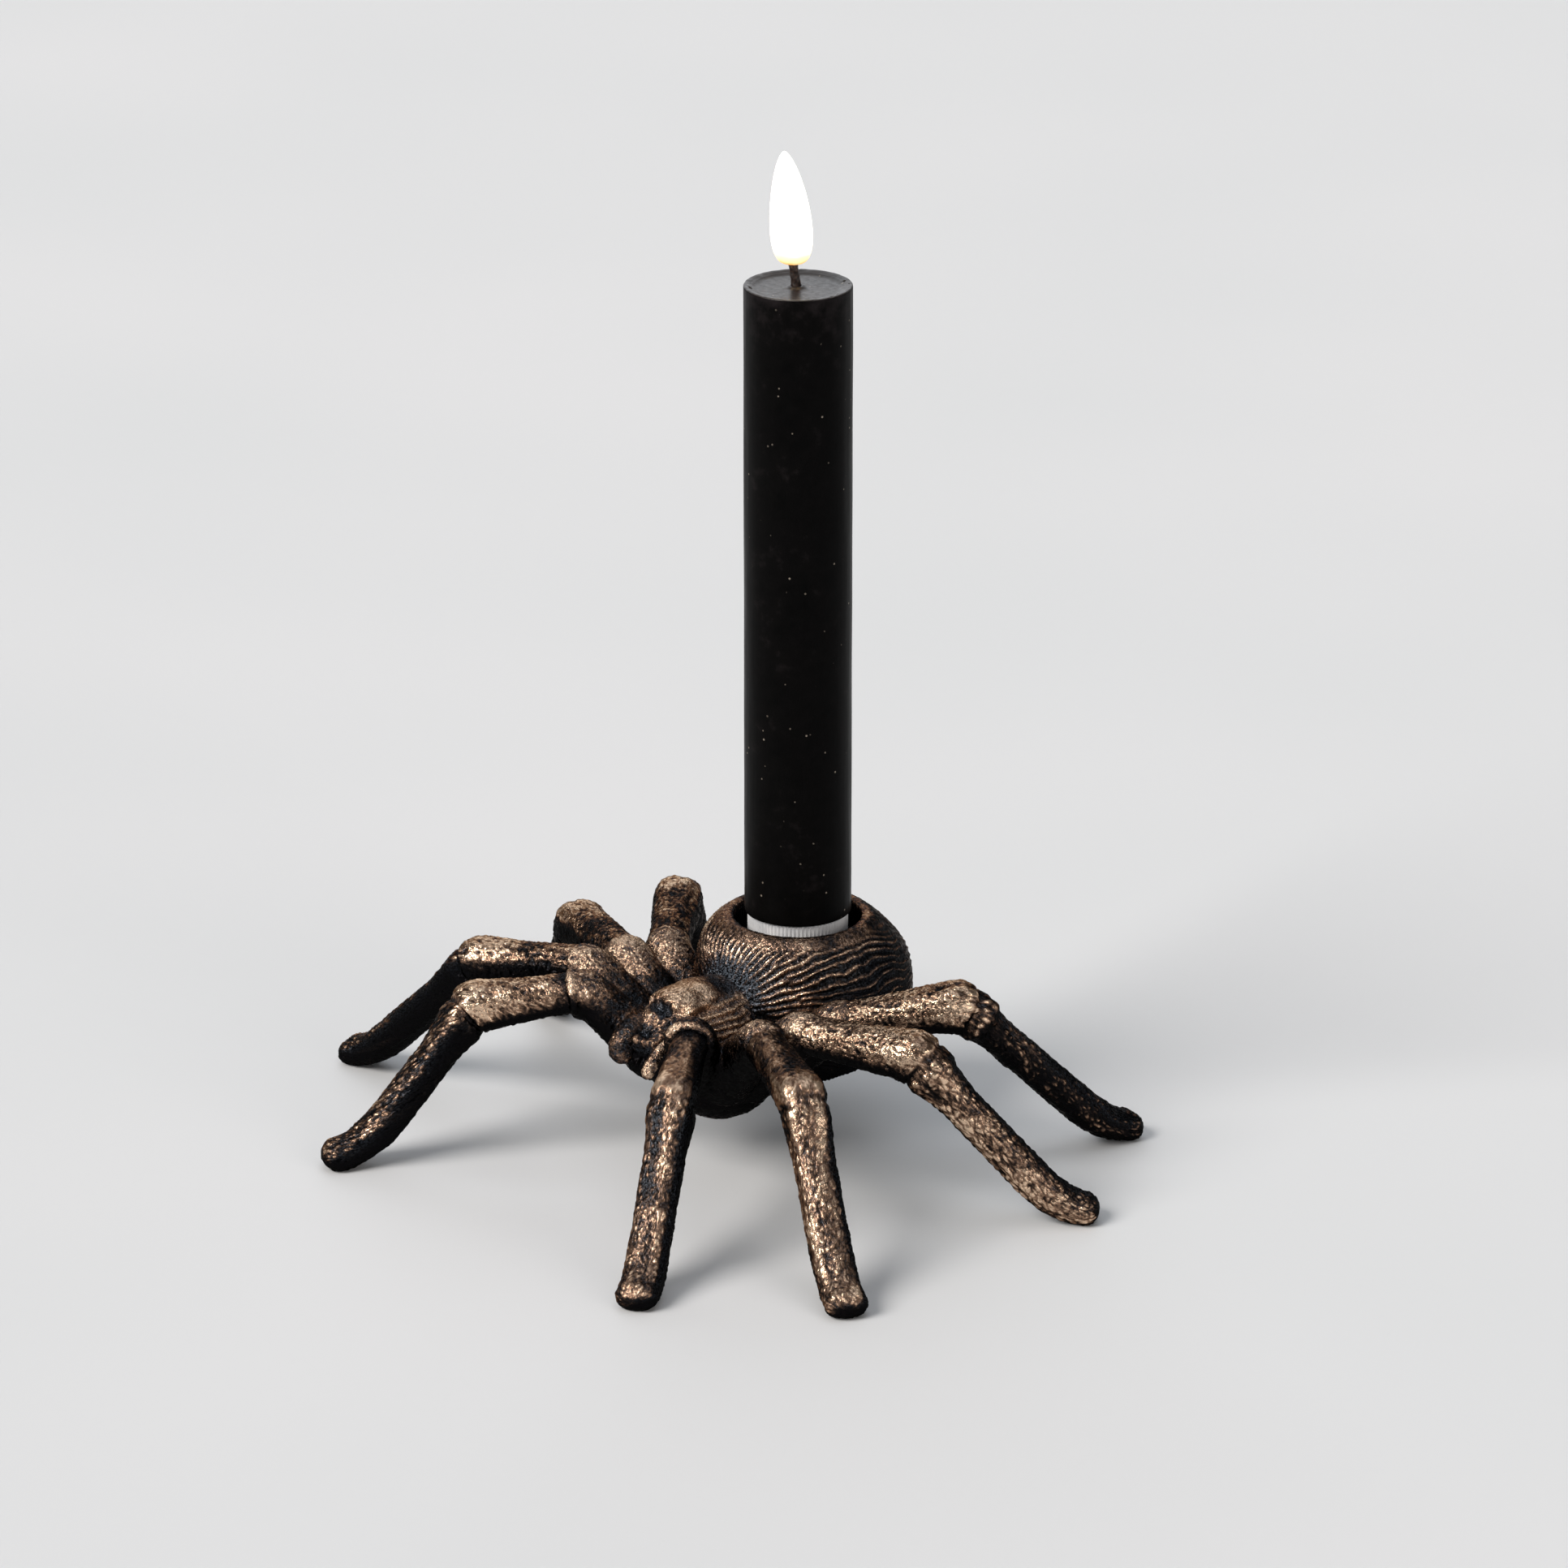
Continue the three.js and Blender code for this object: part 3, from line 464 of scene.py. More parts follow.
def abdomenPiece():
    # Ridges run from the waist to the tail like lines of longitude round the front-to-back line. Their number
    # falls towards both poles, where neighbours run together, and slow waves bend and break them.
    a = abdomen
    rings, outerCount = abdomenRings()
    points, quads, tris = closedGrid(rings)
    normals = vertexNormals(points, quads, tris)
    x, y, z = (points - [axis[0], axis[1] + a["setBack"], a["centreZ"]]).T
    longitude = np.arctan2(x, z) / (2 * math.pi)
    fromPole = np.hypot(x, z) / a["radius"]
    along = np.arctan2(fromPole, y / a["radius"]) * a["radius"]
    wander = sum(far * waves(points, size, seed) for (far, size), seed in zip(a["waves"], (3, 4)))
    few, some, many = (crestLine(count * (longitude + wander / a["ridges"][2]) + shift)
                       for count, shift in zip(a["ridges"], (0.0, 0.3, 0.6)))
    where = fromPole + 0.1 * waves(points, 6, 8)
    inner, outer = (ease01(where, *change) for change in a["changes"])
    ridge = few * (1 - inner) + inner * (some * (1 - outer) + many * outer)
    broken = waves(np.stack([longitude * 110, along * 0.4, y * 0], -1), 2.2, 9)
    ridge = ridge * (0.9 + a["breaks"] * broken) - 0.28
    outside = np.arange(len(points)) < outerCount
    outside[-2] = True  # the middle of the underside
    height = points[:, 2]
    inside = ~outside & (height < a["rimZ"] - a["lip"] - 1)
    keep = outside * ease01(fromPole, 0.06, 0.16) * (1 - ease01(height, *a["ridgeTop"]))
    skin = pebbles(points, 21, 0.9)
    h = a["ridgeHeight"] * ridge * keep * (1 - a["tailFlat"] * ease01(y, 2, 16))
    h += (a["skin"] * skin + a["lumps"] * waves(points, 3, 25)) * np.where(inside, 0.4, 1 - 0.45 * keep)
    h = np.where(height > a["rimZ"] - 0.3, np.minimum(h, 0.0) - 0.02, h)
    points = points + normals * h[:, None]
    atWaist = (1 - ease01(fromPole, 0.36, 0.56)) * (y < 0)
    reliefAndShade = 0.45 + keep * 1.35 * (ridge - 0.15) + 0.35 * skin * (1 - 0.4 * keep)
    # painted shade: the relief's copper fades towards the bottom
    reliefAndShade *= (0.2 + 0.8 * ease01(height, 12, 30)) * (1 - 0.35 * atWaist)
    # painted light: rub is brightest on faces that look up and ahead
    rub = 0.03 + np.maximum(a["rub"] * wornAndLitFacing(normals, high=0.75), a["farRub"] * farSide(normals))
    rub -= a["rimRub"] * ease01(height, 44.2, 45.6)  # the darker band round the mouth
    # painted shade as well as less wear: darker towards the bottom
    rub -= a["lowRubAndShade"] * (1 - ease01(height, 20, 33)) + a["waistRub"] * atWaist
    # grey dust at the waist, and a painted bluish sheen all over, kept to faces that look up
    dustAndSheen = 1.2 * around(points, spot(1, *a["waist"]), a["waistSize"]) + 0.12
    dustAndSheen *= ease01(normals[:, 2], -0.3, 0.3)
    reliefAndShade, rub, dustAndSheen = np.where(inside, [[a["cupDark"]], [0], [0]], [reliefAndShade, rub, dustAndSheen])
    return metalPiece("abdomen", (points, quads, tris), reliefAndShade, rub, dustAndSheen, points * 0.75,
                      0.3 * ease01(height, 44, 45))


dressMetal(abdomenPiece(), "abdomen_cup")
print("abdomen made")

# Legs

# Where the legs leave the body: ahead, out, z
hips = {"1": (43, 16.5, 35.4), "2": (33.5, 27, 35.2), "3": (23, 27, 34.1), "4": (12.5, 26.5, 33.2)}
# Knee and toe are places like the hips. rub says how worn root, knee and shin are and how lit they are painted,
# knuckle how bare the hip is; calm and faces go for thigh and shin, and girth is the thigh's. faces give the
# ways that the worn and painted-lit sides look. cuff, hump and crease shape the knee, and turn winds the marks
# round the leg.
usualLeg = {"calm": (0.1, 0.3), "girth": 1.0, "hump": 0.2, "turn": 0.0}
legPlaces = {
    "leg_left_1": {"knee": (60.5, 31.5, 31.9), "toe": (85.5, 49.2), "rub": (0.5, 0.55, 0.7), "knuckle": 0.1,
                   "calm": (0.85, 0.5), "faces": ((0.5, 0.1, 0.6), (0.6, 0.0, 0.5)), "girth": 0.88,
                   "cuff": 0.15, "hump": 0.1, "crease": 0.22},
    "leg_left_2": {"knee": (43.5, 50.5, 32.9), "toe": (57.5, 79), "rub": (0.5, 0.62, 0.88), "knuckle": 0.25,
                   "calm": (0.65, 0.45), "faces": ((0.4, 0.1, 0.7), (0.5, 0.1, 0.5)), "girth": 0.97,
                   "cuff": 0.3, "hump": 0.1, "crease": 0.32, "turn": 0.01},
    "leg_left_3": {"knee": (14.5, 52.5, 34.4), "toe": (-9, 76.5), "rub": (0.62, 0.66, 0.72), "knuckle": 0.45,
                   "calm": (0.0, 0.0), "faces": ((0.3, 0.2, 0.8), (0.6, 0.6, 0.25)),
                   "cuff": 0.4, "hump": 0.45, "crease": 0.4},
    "leg_left_4": {"knee": (-5.5, 43.5, 37.4), "toe": (-45, 51), "rub": (0.5, 0.58, 0.24), "knuckle": 0.3,
                   "calm": (0.0, 0.1), "faces": ((0.2, 0.4, 0.8), (0.5, 0.3, 0.5)),
                   "cuff": 0.75, "hump": 0.7, "crease": 0.5, "turn": 0.02},
    "leg_right_1": {"knee": (60.5, 31.5, 31.9), "toe": (86.5, 44), "rub": (0.6, 0.7, 0.45), "knuckle": 0.7,
                    "faces": ((0.4, 0.2, 0.9), (0.4, -0.2, 0.7)), "cuff": 0.8, "crease": 0.5, "turn": 0.09},
    "leg_right_2": {"knee": (43.5, 50.5, 31.7), "toe": (48.5, 85), "rub": (0.35, 0.72, 0.45), "knuckle": 0.6,
                    "faces": ((0.1, 0.0, 0.9), (-0.1, -0.3, 0.9)), "cuff": 0.8, "crease": 0.45, "turn": 0.04},
    "leg_right_3": {"knee": (14.5, 52.5, 31.8), "toe": (-1, 81), "rub": (0.25, 0.6, 0.4), "knuckle": 0.95,
                    "faces": ((0.2, 0.2, 0.9), (0.1, 0.2, 0.9)), "cuff": 0.6, "crease": 0.4},
    "leg_right_4": {"knee": (-5.5, 44, 34.5), "toe": (-34, 66), "rub": (0.2, 0.4, 0.4), "knuckle": 0.9,
                    "faces": ((0.2, 0.3, 0.8), (0.2, 0.3, 0.8)), "cuff": 0.6, "crease": 0.4},
}
for name, own in legPlaces.items():
    legPlaces[name] = {**usualLeg, **own, "side": 1 if "left" in name else -1, "hip": hips[name[-1]]}
legShape = {  # sizes are half the width and half the height
    "collar": 3.0, "root": (4.2, 4.1), "thigh": (4.4, 4.15), "kneeSize": (4.95, 4.85), "shinTop": (4.35, 4.2),
    "shin": (4.15, 3.75), "foot": (4.4, 2.8), "footLength": 9, "ankleRise": 4.6, "soleDepth": 0.4,
    "kneeBend": 2.3, "footBend": 4.2, "step": 0.23, "columns": 118,
    "squareAt": (2.0, 2.6, 2.9, 2.7, 2.4),  # boxiness at root, mid thigh, knee, shin top and toe
    "cap": 0.75, "creaseWidth": 0.55, "wanderMm": 4.5, "meanSize": 4.3,
    "furrowDraw": (0.13, 1, 1),  # the shin's dark furrows are about eight times as long as they are wide
    "knuckleRub": 0.25, "farRub": 0.4, "tipShade": 0.85, "hoodShade": 0.85,
}


def smoothPath(corners, step, blur):
    # Points every step along straight lines between corners, blurred along the way so that corners round off
    corners = np.array(corners)
    lengths = np.linalg.norm(np.diff(corners, axis=0), axis=1)
    marks = np.concatenate([[0], np.cumsum(lengths)])
    s = np.arange(0, marks[-1], step)
    line = np.stack([np.interp(s, marks, corners[:, k]) for k in range(3)], -1)
    reach = int(3 * blur / step)
    kernel = np.exp(-0.5 * (np.arange(-reach, reach + 1) * step / blur) ** 2)
    kernel /= kernel.sum()
    before = line[0] + (line[0] - line[1]) * np.arange(reach, 0, -1)[:, None]
    after = line[-1] + (line[-1] - line[-2]) * np.arange(1, reach + 1)[:, None]
    padded = np.concatenate([before, line, after])
    return np.stack([np.convolve(padded[:, k], kernel, "valid") for k in range(3)], -1), marks


def ovalRings(path, wide, high, columns, square=2.0):
    # Ovals square to the path: wide lies level, high stands in the upright plane of the path. The radius is
    # 1 / (|cos|^square + |sin|^square)^(1 / square), so a square over 2 makes them boxier
    along = np.gradient(path, axis=0)
    along /= np.linalg.norm(along, axis=1, keepdims=True)
    across = np.cross(along, [0, 0, 1.0])
    across /= np.linalg.norm(across, axis=1, keepdims=True)
    over = np.cross(across, along)
    angle = -np.linspace(0, 2 * math.pi, columns, endpoint=False)
    square = np.broadcast_to(square, len(path))[:, None]
    swell = (np.abs(np.cos(angle)) ** square + np.abs(np.sin(angle)) ** square) ** (-1 / square)
    rings = (path[:, None] + across[:, None] * (wide[:, None] * swell * np.cos(angle))[..., None]
             + over[:, None] * (high[:, None] * swell * np.sin(angle))[..., None])
    return rings, angle


def roundEnd(s, end, reach, most):
    # Shrinks the last rings of a limb as a quarter circle does, but not to nothing
    return np.sqrt(np.clip(1 - ((s - (end - reach)) / reach).clip(0, most) ** 2, 0, 1))


def legPath(p):
    # Root, knee, ankle, ball and toe, with a tight bend at the knee and a slow one into the foot
    shape = legShape
    hip, knee = spot(p["side"], *p["hip"]), spot(p["side"], *p["knee"])
    toeZ = shape["foot"][1] - shape["soleDepth"]
    toe = spot(p["side"], *p["toe"], toeZ)
    root = hip + unit(knee - hip) * (shape["collar"] - 1.2)
    outward = unit((toe - knee) * [1, 1, 0])
    ankle = toe - outward * shape["footLength"] + [0, 0, shape["ankleRise"]]
    ball = toe - outward * shape["footLength"] * 0.3
    reach = (shape["foot"][0] + shape["foot"][1]) / 2 - 0.45
    corners = [root, knee, ankle, ball, toe + outward * reach]
    tight, marks = smoothPath(corners, shape["step"], shape["kneeBend"])
    slow, _ = smoothPath(corners, shape["step"], shape["footBend"])
    s = np.arange(len(tight)) * shape["step"]
    share = ease01(s, marks[1] + 6, marks[1] + 16)[:, None]
    path = tight * (1 - share) + slow * share
    path[:, 2] -= (path[-1, 2] - toeZ) * ease01(s, marks[-1] - 16, marks[-1] - 3)
    return path, s, marks, reach


def legPiece(name, seed):
    # Ovals along the leg's path; at the knee the thigh ends in a cuff over the shin, with a dark crease behind
    # it. Marks are worked out in mm along and round the limb, drawn out along the shin.
    p, shape = legPlaces[name], legShape
    path, s, marks, reach = legPath(p)
    kneeAt, end, columns = marks[1], marks[-1], shape["columns"]
    shinTop = tuple(knee + (shin - knee) * p["cuff"] for knee, shin in zip(shape["kneeSize"], shape["shinTop"]))
    table = [(0, shape["root"]), (kneeAt * 0.4, shape["thigh"]), (kneeAt - 2, shape["kneeSize"]),
             (kneeAt + 0.7, shape["kneeSize"]), (kneeAt + 1.3, shinTop), (kneeAt + 5, shinTop),
             (kneeAt + 12, shape["shin"]), (marks[2], shape["shin"]), (end, shape["foot"])]
    girth = p["girth"] + (1 - p["girth"]) * ease01(s, kneeAt - 2, kneeAt + 6)
    bump = p["hump"] * bell(s - kneeAt - 4.2, 1.8)
    dome = roundEnd(s, end, reach, 0.999)
    wide, high = ((np.interp(s, [at for at, _ in table], [size[k] for _, size in table]) * girth + bump) * dome
                  for k in (0, 1))
    square = np.interp(s, [0, kneeAt * 0.5, kneeAt, kneeAt + 8, end], shape["squareAt"])
    rings, angle = ovalRings(path, wide, high, columns, square)
    points, quads, tris = closedGrid(rings)
    normals = vertexNormals(points, quads, tris)

    def onPoints(values, first, last):
        # A value per ring, repeated for its points, and one for each end
        return np.append(np.repeat(values, columns), [first, last])

    sAll = onPoints(s, 0, end)
    aAll = np.append(np.tile(angle, len(s)), [0, 0])
    past = sAll - kneeAt
    drawnOut = 1.2 + 0.6 * ease01(s, kneeAt, kneeAt + 4)
    run = onPoints(np.cumsum(shape["step"] / drawnOut), 0, 0) + seed * 40
    turned = aAll + sAll * p["turn"]
    radius = shape["meanSize"] * onPoints(dome, 1, 0.05)
    flat = np.stack([run, radius * np.cos(turned), radius * np.sin(turned)], -1)
    below = ease01(past, 0, 3)
    calm = p["calm"][0] + (p["calm"][1] - p["calm"][0]) * below
    pebble = pebbles(flat, seed, 1.0, 0.5 + 0.25 * below) * (1 - 0.6 * calm)
    lumps = waves(points, cast["lumpMm"], seed + 1)
    fade = onPoints(dome, 1, 0.2)
    cap = shape["cap"] * bell(past + 0.3, 2.6) * np.clip(np.sin(aAll), 0, 1) ** 2
    streak = waves(flat * shape["furrowDraw"], cast["furrowMm"], seed + 9)
    streak = streak * ease01(sAll, kneeAt * 0.3, kneeAt + 3) * fade
    wander = 1.5 + 1.3 * waves(points, shape["wanderMm"], seed + 20)
    crease = p["crease"] * bell(past - wander, shape["creaseWidth"]) * (0.8 + 0.7 * waves(points, 3, seed + 21))
    h = cast["lump"] * lumps + cast["pebble"] * (pebble - 0.4) - crease
    h += cast["nick"] * waves(points, cast["nickMm"], seed + 2) + cast["furrow"] * np.minimum(streak, 0.1)
    points = points + normals * (h * (0.3 + 0.7 * fade) + cap)[:, None]
    points[:, 2] = np.maximum(points[:, 2], 0)

    shinward = ease01(past, -1, 7)  # the wear changes more slowly than the form
    # painted light: thigh and shin are brighter where they look the chosen ways, as well as worn there
    onThigh, onShin = (wornAndLitFacing(normals, face) for face in p["faces"])
    up = onThigh * (1 - shinward) + onShin * shinward
    underToe = ease01(sAll, end - 2, end + 1) * (1 - ease01(normals[:, 2], 0.1, 0.5))
    up *= 1 - shape["tipShade"] * underToe
    up = np.maximum(up, 0.6 * farSide(normals))
    reliefAndShade = 0.46 + (1.0 + 0.35 * below) * (pebble - 0.2 - 0.2 * below) + 0.2 * lumps
    # painted shade: the relief's copper fades on faces turned from those ways
    reliefAndShade = reliefAndShade * (0.15 + 0.85 * up) - 1.2 * crease
    # the rub levels along the leg are partly wear and partly painted light and shade
    root, knee, shin = p["rub"]
    handledAndLit = root + (knee - root) * ease01(sAll, kneeAt * 0.35, kneeAt * 0.9)
    handledAndLit += (shin - handledAndLit) * shinward
    knuckle = bell(past + 1, 3) + 0.7 * bell(sAll - end, 5)
    rub = np.maximum(up * (handledAndLit + shape["knuckleRub"] * knuckle), shape["farRub"] * farSide(normals))
    rub += 0.12 * waves(points, 6, seed + 3) + 0.38 * streak
    underHood = 1 - shape["hoodShade"] * bell(sAll, 3.2) * name.endswith("1")
    reliefAndShade, rub = reliefAndShade * underHood, rub * underHood
    # painted sheen: the bluish tone shows only where the metal looks up
    dustAndSheen = 0.16 * (1 - reliefAndShade) * ease01(normals[:, 2], -0.1, 0.5)
    return metalPiece(name.replace("leg", "cast_leg"), (points, quads, tris), reliefAndShade, rub, dustAndSheen, flat, calm)


for number, name in enumerate(legPlaces):
    dressMetal(legPiece(name, 31 + 7 * number), name)
print("legs made:", len(legPlaces))

# Front body

bodyForms = [  # ahead, out, z of the middle; half sizes out, ahead, up
    ((24, 0, 25.4), (10.2, 16.5, 12.5)),
    ((21, 0, 17.7), (11.5, 12.5, 10.3)),
    ((31.5, 0, 28.7), (8.0, 9.0, 8.7)),
    ((38.8, -0.6, 26.4), (6.9, 5.6, 6.4)),
]
# Where each hip stub starts inside the body: ahead, out, z
stubRoots = {"1": (33, 7, 22), "2": (27, 8, 19), "3": (21, 8, 18), "4": (16, 8, 18)}
stubShape = {"sizes": (6.2, 5.1, 4.8, 4.6), "step": 0.5, "columns": 40, "voxel": 0.345, "smoothing": 18}
bodyLook = {
    "wrinkleMm": 1.45, "wrinkle": 0.9, "plateau": 1.0, "hood": 0.85, "knuckle": 0.35,  # heights in mm
    "rub": 0.4, "knuckleGapShade": 0.34, "flankRubAndGlint": 1.0, "backRub": 0.18, "headRub": 0.16, "plateauRub": 0.36,
    "faceRub": 0.25, "hoodRub": 0.55, "knuckleRub": 1.15,
    "flankAhead": (19.5, 22.5, 31, 34), "flankZ": (25, 28, 35.6, 36.8), "flankSide": (3.5, 6, 11, 14),
    "waist": (17, 0, 34), "waistSize": (8, 4, 6),  # grey dust lies there
}
# Small forms pressed into or built up on the head: ahead, out, z, radius, height
dabs = [
    (40.0, 3.5, 33.4, 1.2, 1.5), (39.8, -1.7, 34.1, 1.4, 1.3), (39.0, -4.6, 33.2, 1.8, 0.8),
    (37.6, 2.8, 35.0, 1.0, -1.2), (37.6, 0.6, 35.3, 1.1, -1.2), (37.2, 5.0, 34.2, 0.9, -1.0),
    (37.8, -1.8, 35.0, 0.9, -0.8), (42.3, 0.9, 31.8, 1.4, -1.8), (42.0, -2.0, 32.0, 1.2, -1.5),
    (42.0, 3.9, 31.8, 1.0, -0.8), (42.8, 3.9, 30.2, 1.0, 0.8), (43.4, 1.8, 29.9, 0.9, 0.8),
    (43.4, -0.4, 30.0, 0.9, 0.7), (44.2, 2.2, 26.8, 1.9, -1.6), (44.2, -0.6, 26.0, 1.8, -1.4),
    (33.4, 5.3, 35.3, 1.1, 0.7),
]


def ellipsoidGrid(middle, half, rows=40, columns=64):
    # Rings of an ellipsoid from its lowest to its highest point
    t = np.linspace(-math.pi / 2, math.pi / 2, rows + 2)[1:-1]
    a = np.linspace(0, 2 * math.pi, columns, endpoint=False)
    x = half[0] * np.cos(t)[:, None] * np.cos(a)
    y = half[1] * np.cos(t)[:, None] * np.sin(a)
    z = np.broadcast_to(half[2] * np.sin(t)[:, None], x.shape)
    return closedGrid(np.stack([x, y, z], -1) + middle)


def frontBodyShell():
    # Closed forms laid into each other: ellipsoids for the body and the head, tapered limbs up to the hips
    step = stubShape["step"]
    parts = [ellipsoidGrid(spot(1, *middle), half) for middle, half in bodyForms]
    for name, p in legPlaces.items():
        root, hip, knee = (spot(p["side"], *place) for place in (stubRoots[name[-1]], p["hip"], p["knee"]))
        path, marks = smoothPath([root, hip, hip + unit(knee - hip) * legShape["collar"]], step, 1.0)
        s = np.arange(len(path)) * step
        size = np.interp(s, [0, marks[1] * 0.6, marks[1] - 1, marks[2]], stubShape["sizes"])
        parts.append(closedGrid(ovalRings(path, size, size * 0.95, stubShape["columns"])[0]))
    return parts


def joined(parts):
    # Several closed forms as the arrays of one mesh
    starts = np.cumsum([0] + [len(points) for points, _, _ in parts])
    points, quads, tris = zip(*((p, q + start, t + start) for (p, q, t), start in zip(parts, starts)))
    return np.concatenate(points), np.concatenate(quads), np.concatenate(tris)


def voxelUnion(parts, voxel):
    # One skin round all the parts, from Blender's voxel remesh
    rough = meshPiece("rough", *joined(parts))
    change = rough.modifiers.new("union", "REMESH")
    change.mode = "VOXEL"
    change.voxel_size = voxel * mm
    mesh = rough.evaluated_get(bpy.context.evaluated_depsgraph_get()).to_mesh()

    def read(items, key, kind, width=1):
        values = np.empty(len(items) * width, kind)
        items.foreach_get(key, values)
        return values

    points = read(mesh.vertices, "co", np.float32, 3).reshape(-1, 3).astype(float) / mm
    corners = read(mesh.loops, "vertex_index", np.int32)
    sizes, starts = (read(mesh.polygons, key, np.int32) for key in ("loop_total", "loop_start"))
    quads, tris = (corners[starts[sizes == n][:, None] + np.arange(n)] for n in (4, 3))
    bpy.data.objects.remove(rough)
    return points, quads, tris


def between(x, low, lowEnd, highStart, high):
    # 1 between lowEnd and highStart, 0 below low and above high
    return ease01(x, low, lowEnd) * (1 - ease01(x, highStart, high))


def headPlateau(ahead, side, z):
    # 1 on the raised, smooth back of the head: an egg in plan with a scalloped front edge
    middle = 0.5
    front = 36.4 + 0.35 * np.sin(side * 2.6) - 0.03 * (side - middle) ** 2
    half = 5.4 - 0.011 * (ahead - 33) ** 2
    plan = ease01(front - ahead, -0.35, 0.45) * ease01(half - np.abs(side - middle), -0.4, 0.5)
    return plan * ease01(ahead, 23, 29) * ease01(z, 31, 33)


def frontBodyPiece():
    # The united skin, smoothed, then moved along its normals by wrinkles, hammered bumps and small forms
    look = bodyLook
    points, quads, tris = voxelUnion(frontBodyShell(), stubShape["voxel"])
    points = relax(points, quads, stubShape["smoothing"])
    normals = vertexNormals(points, quads, tris)
    ahead, side, z = axis[1] - points[:, 1], points[:, 0] - axis[0], points[:, 2]
    # level wrinkles along the flanks of the thorax, between the head's plateau and the waist
    flank = between(ahead, *look["flankAhead"]) * between(z, *look["flankZ"])
    flank *= between(np.abs(side), *look["flankSide"])
    wrinkle = crestLine(z / look["wrinkleMm"] + 0.03 * ahead + 0.4 * waves(points, 4, 52))
    wrinkle = flank * (wrinkle * (0.9 + 0.5 * waves(points, 2.5, 53)) - 0.3)
    plateau = headPlateau(ahead, side, z)
    back = ease01(z, 34.5, 36) * (np.abs(side) < 9)  # the top of the thorax is smooth and dark
    rough = (1 - 0.5 * plateau) * (1 - 0.6 * back) * (1 - 0.5 * flank)
    skin = pebbles(points, 55)
    lumps = waves(points, cast["lumpMm"], 56)
    h = look["wrinkle"] * wrinkle + look["plateau"] * plateau + cast["lump"] * lumps
    h += cast["pebble"] * (skin - 0.4) * rough + cast["nick"] * waves(points, cast["nickMm"], 57)
    shadeBetweenKnuckles = look["knuckleGapShade"] * ease01(-side, 7, 11)  # painted shade between the knuckles of the right legs
    # painted light and shade: rub follows faces that look up and ahead, and fades low down
    rub = 0.08 + (look["rub"] - shadeBetweenKnuckles) * wornAndLitFacing(normals, high=0.75) * ease01(z, 20, 30)
    # the flank wrinkles are painted with glints as well as wear
    rub += look["flankRubAndGlint"] * flank - look["backRub"] * back + look["headRub"] * (z > 33)
    rub += look["plateauRub"] * plateau * (1 - 0.6 * ease01(z, 36.3, 38.2))
    rub -= look["faceRub"] * ease01(ahead, 37, 38.5)
    reliefAndShade = 0.4 + 0.8 * (skin - 0.25) * rough + 1.5 * wrinkle + 0.2 * lumps + 0.12 * plateau
    for *place, radius, height in dabs:
        share = around(points, spot(1, *place), radius)
        h += height * share
        reliefAndShade += 0.5 * np.sign(height) * share
        rub += (0.3 if height > 0 else -0.4) * share
    for name, p in legPlaces.items():
        hip, knee = spot(p["side"], *p["hip"]), spot(p["side"], *p["knee"])
        along = unit(knee - hip)
        past = (points - hip) @ along
        beside = np.linalg.norm(points - hip - past[:, None] * along, axis=1)
        if name.endswith("1"):  # a rim like a hood over the front legs' roots
            rim = bell(past - 2.4, 0.8) * (beside < 8)
            h += look["hood"] * rim
            # painted light as well as wear: the hood's rim is brighter where it looks up
            rub += look["hoodRub"] * rim * ease01(normals[:, 2], -0.2, 0.6)
        bare = p["knuckle"]
        knuckle = around(points, hip + [-1.5 * p["side"], -1.5, 1.5], 3.4 + 1.6 * bare)
        h += look["knuckle"] * knuckle
        # painted light as well as wear: knuckles are brighter where they look up and ahead
        rub += look["knuckleRub"] * bare * knuckle * wornAndLitFacing(normals, (0.3, 0.3, 0.7), 0.0, 0.5)
    points = points + normals * h[:, None]
    # painted shade: rub and relief fade on the low body and on undersides
    rub *= ease01(z, 14, 27)
    reliefAndShade *= 0.2 + 0.8 * ease01(normals[:, 2], -0.4, 0.3) * ease01(z, 10, 20)
    dustAndSheen = around(points, spot(1, *look["waist"]), look["waistSize"]) + 0.4 * (1 - reliefAndShade) * (1 - plateau)
    # painted sheen: the bluish tone shows only where the metal looks up
    dustAndSheen *= ease01(normals[:, 2], -0.1, 0.5)
    calm = 0.2 * np.maximum(plateau, back)
    return metalPiece("front_body", (points, quads, tris), reliefAndShade, rub, dustAndSheen, points, calm)


dressMetal(frontBodyPiece(), "cephalothorax")
print("front body made")

# Fangs

# rub: the near left finger is painted bright as lit and the far right one dark as shaded, beside their wear
fangShape = {
    "fang_left": {"points": [(38.8, 5.6, 30.2), (42.6, 6.3, 29.3), (45.2, 6.4, 26.6), (46.6, 6.2, 24.2)],
                  "sizes": (1.1, 1.1, 1.45, 1.3), "rub": 0.75},
    "fang_right": {"points": [(38.5, -3.6, 30.4), (41.2, -4.1, 29.8), (43.6, -4.3, 27.2), (44.0, -4.2, 23.4)],
                   "sizes": (2.8, 3.2, 3.0, 2.2), "rub": 0.15},
}


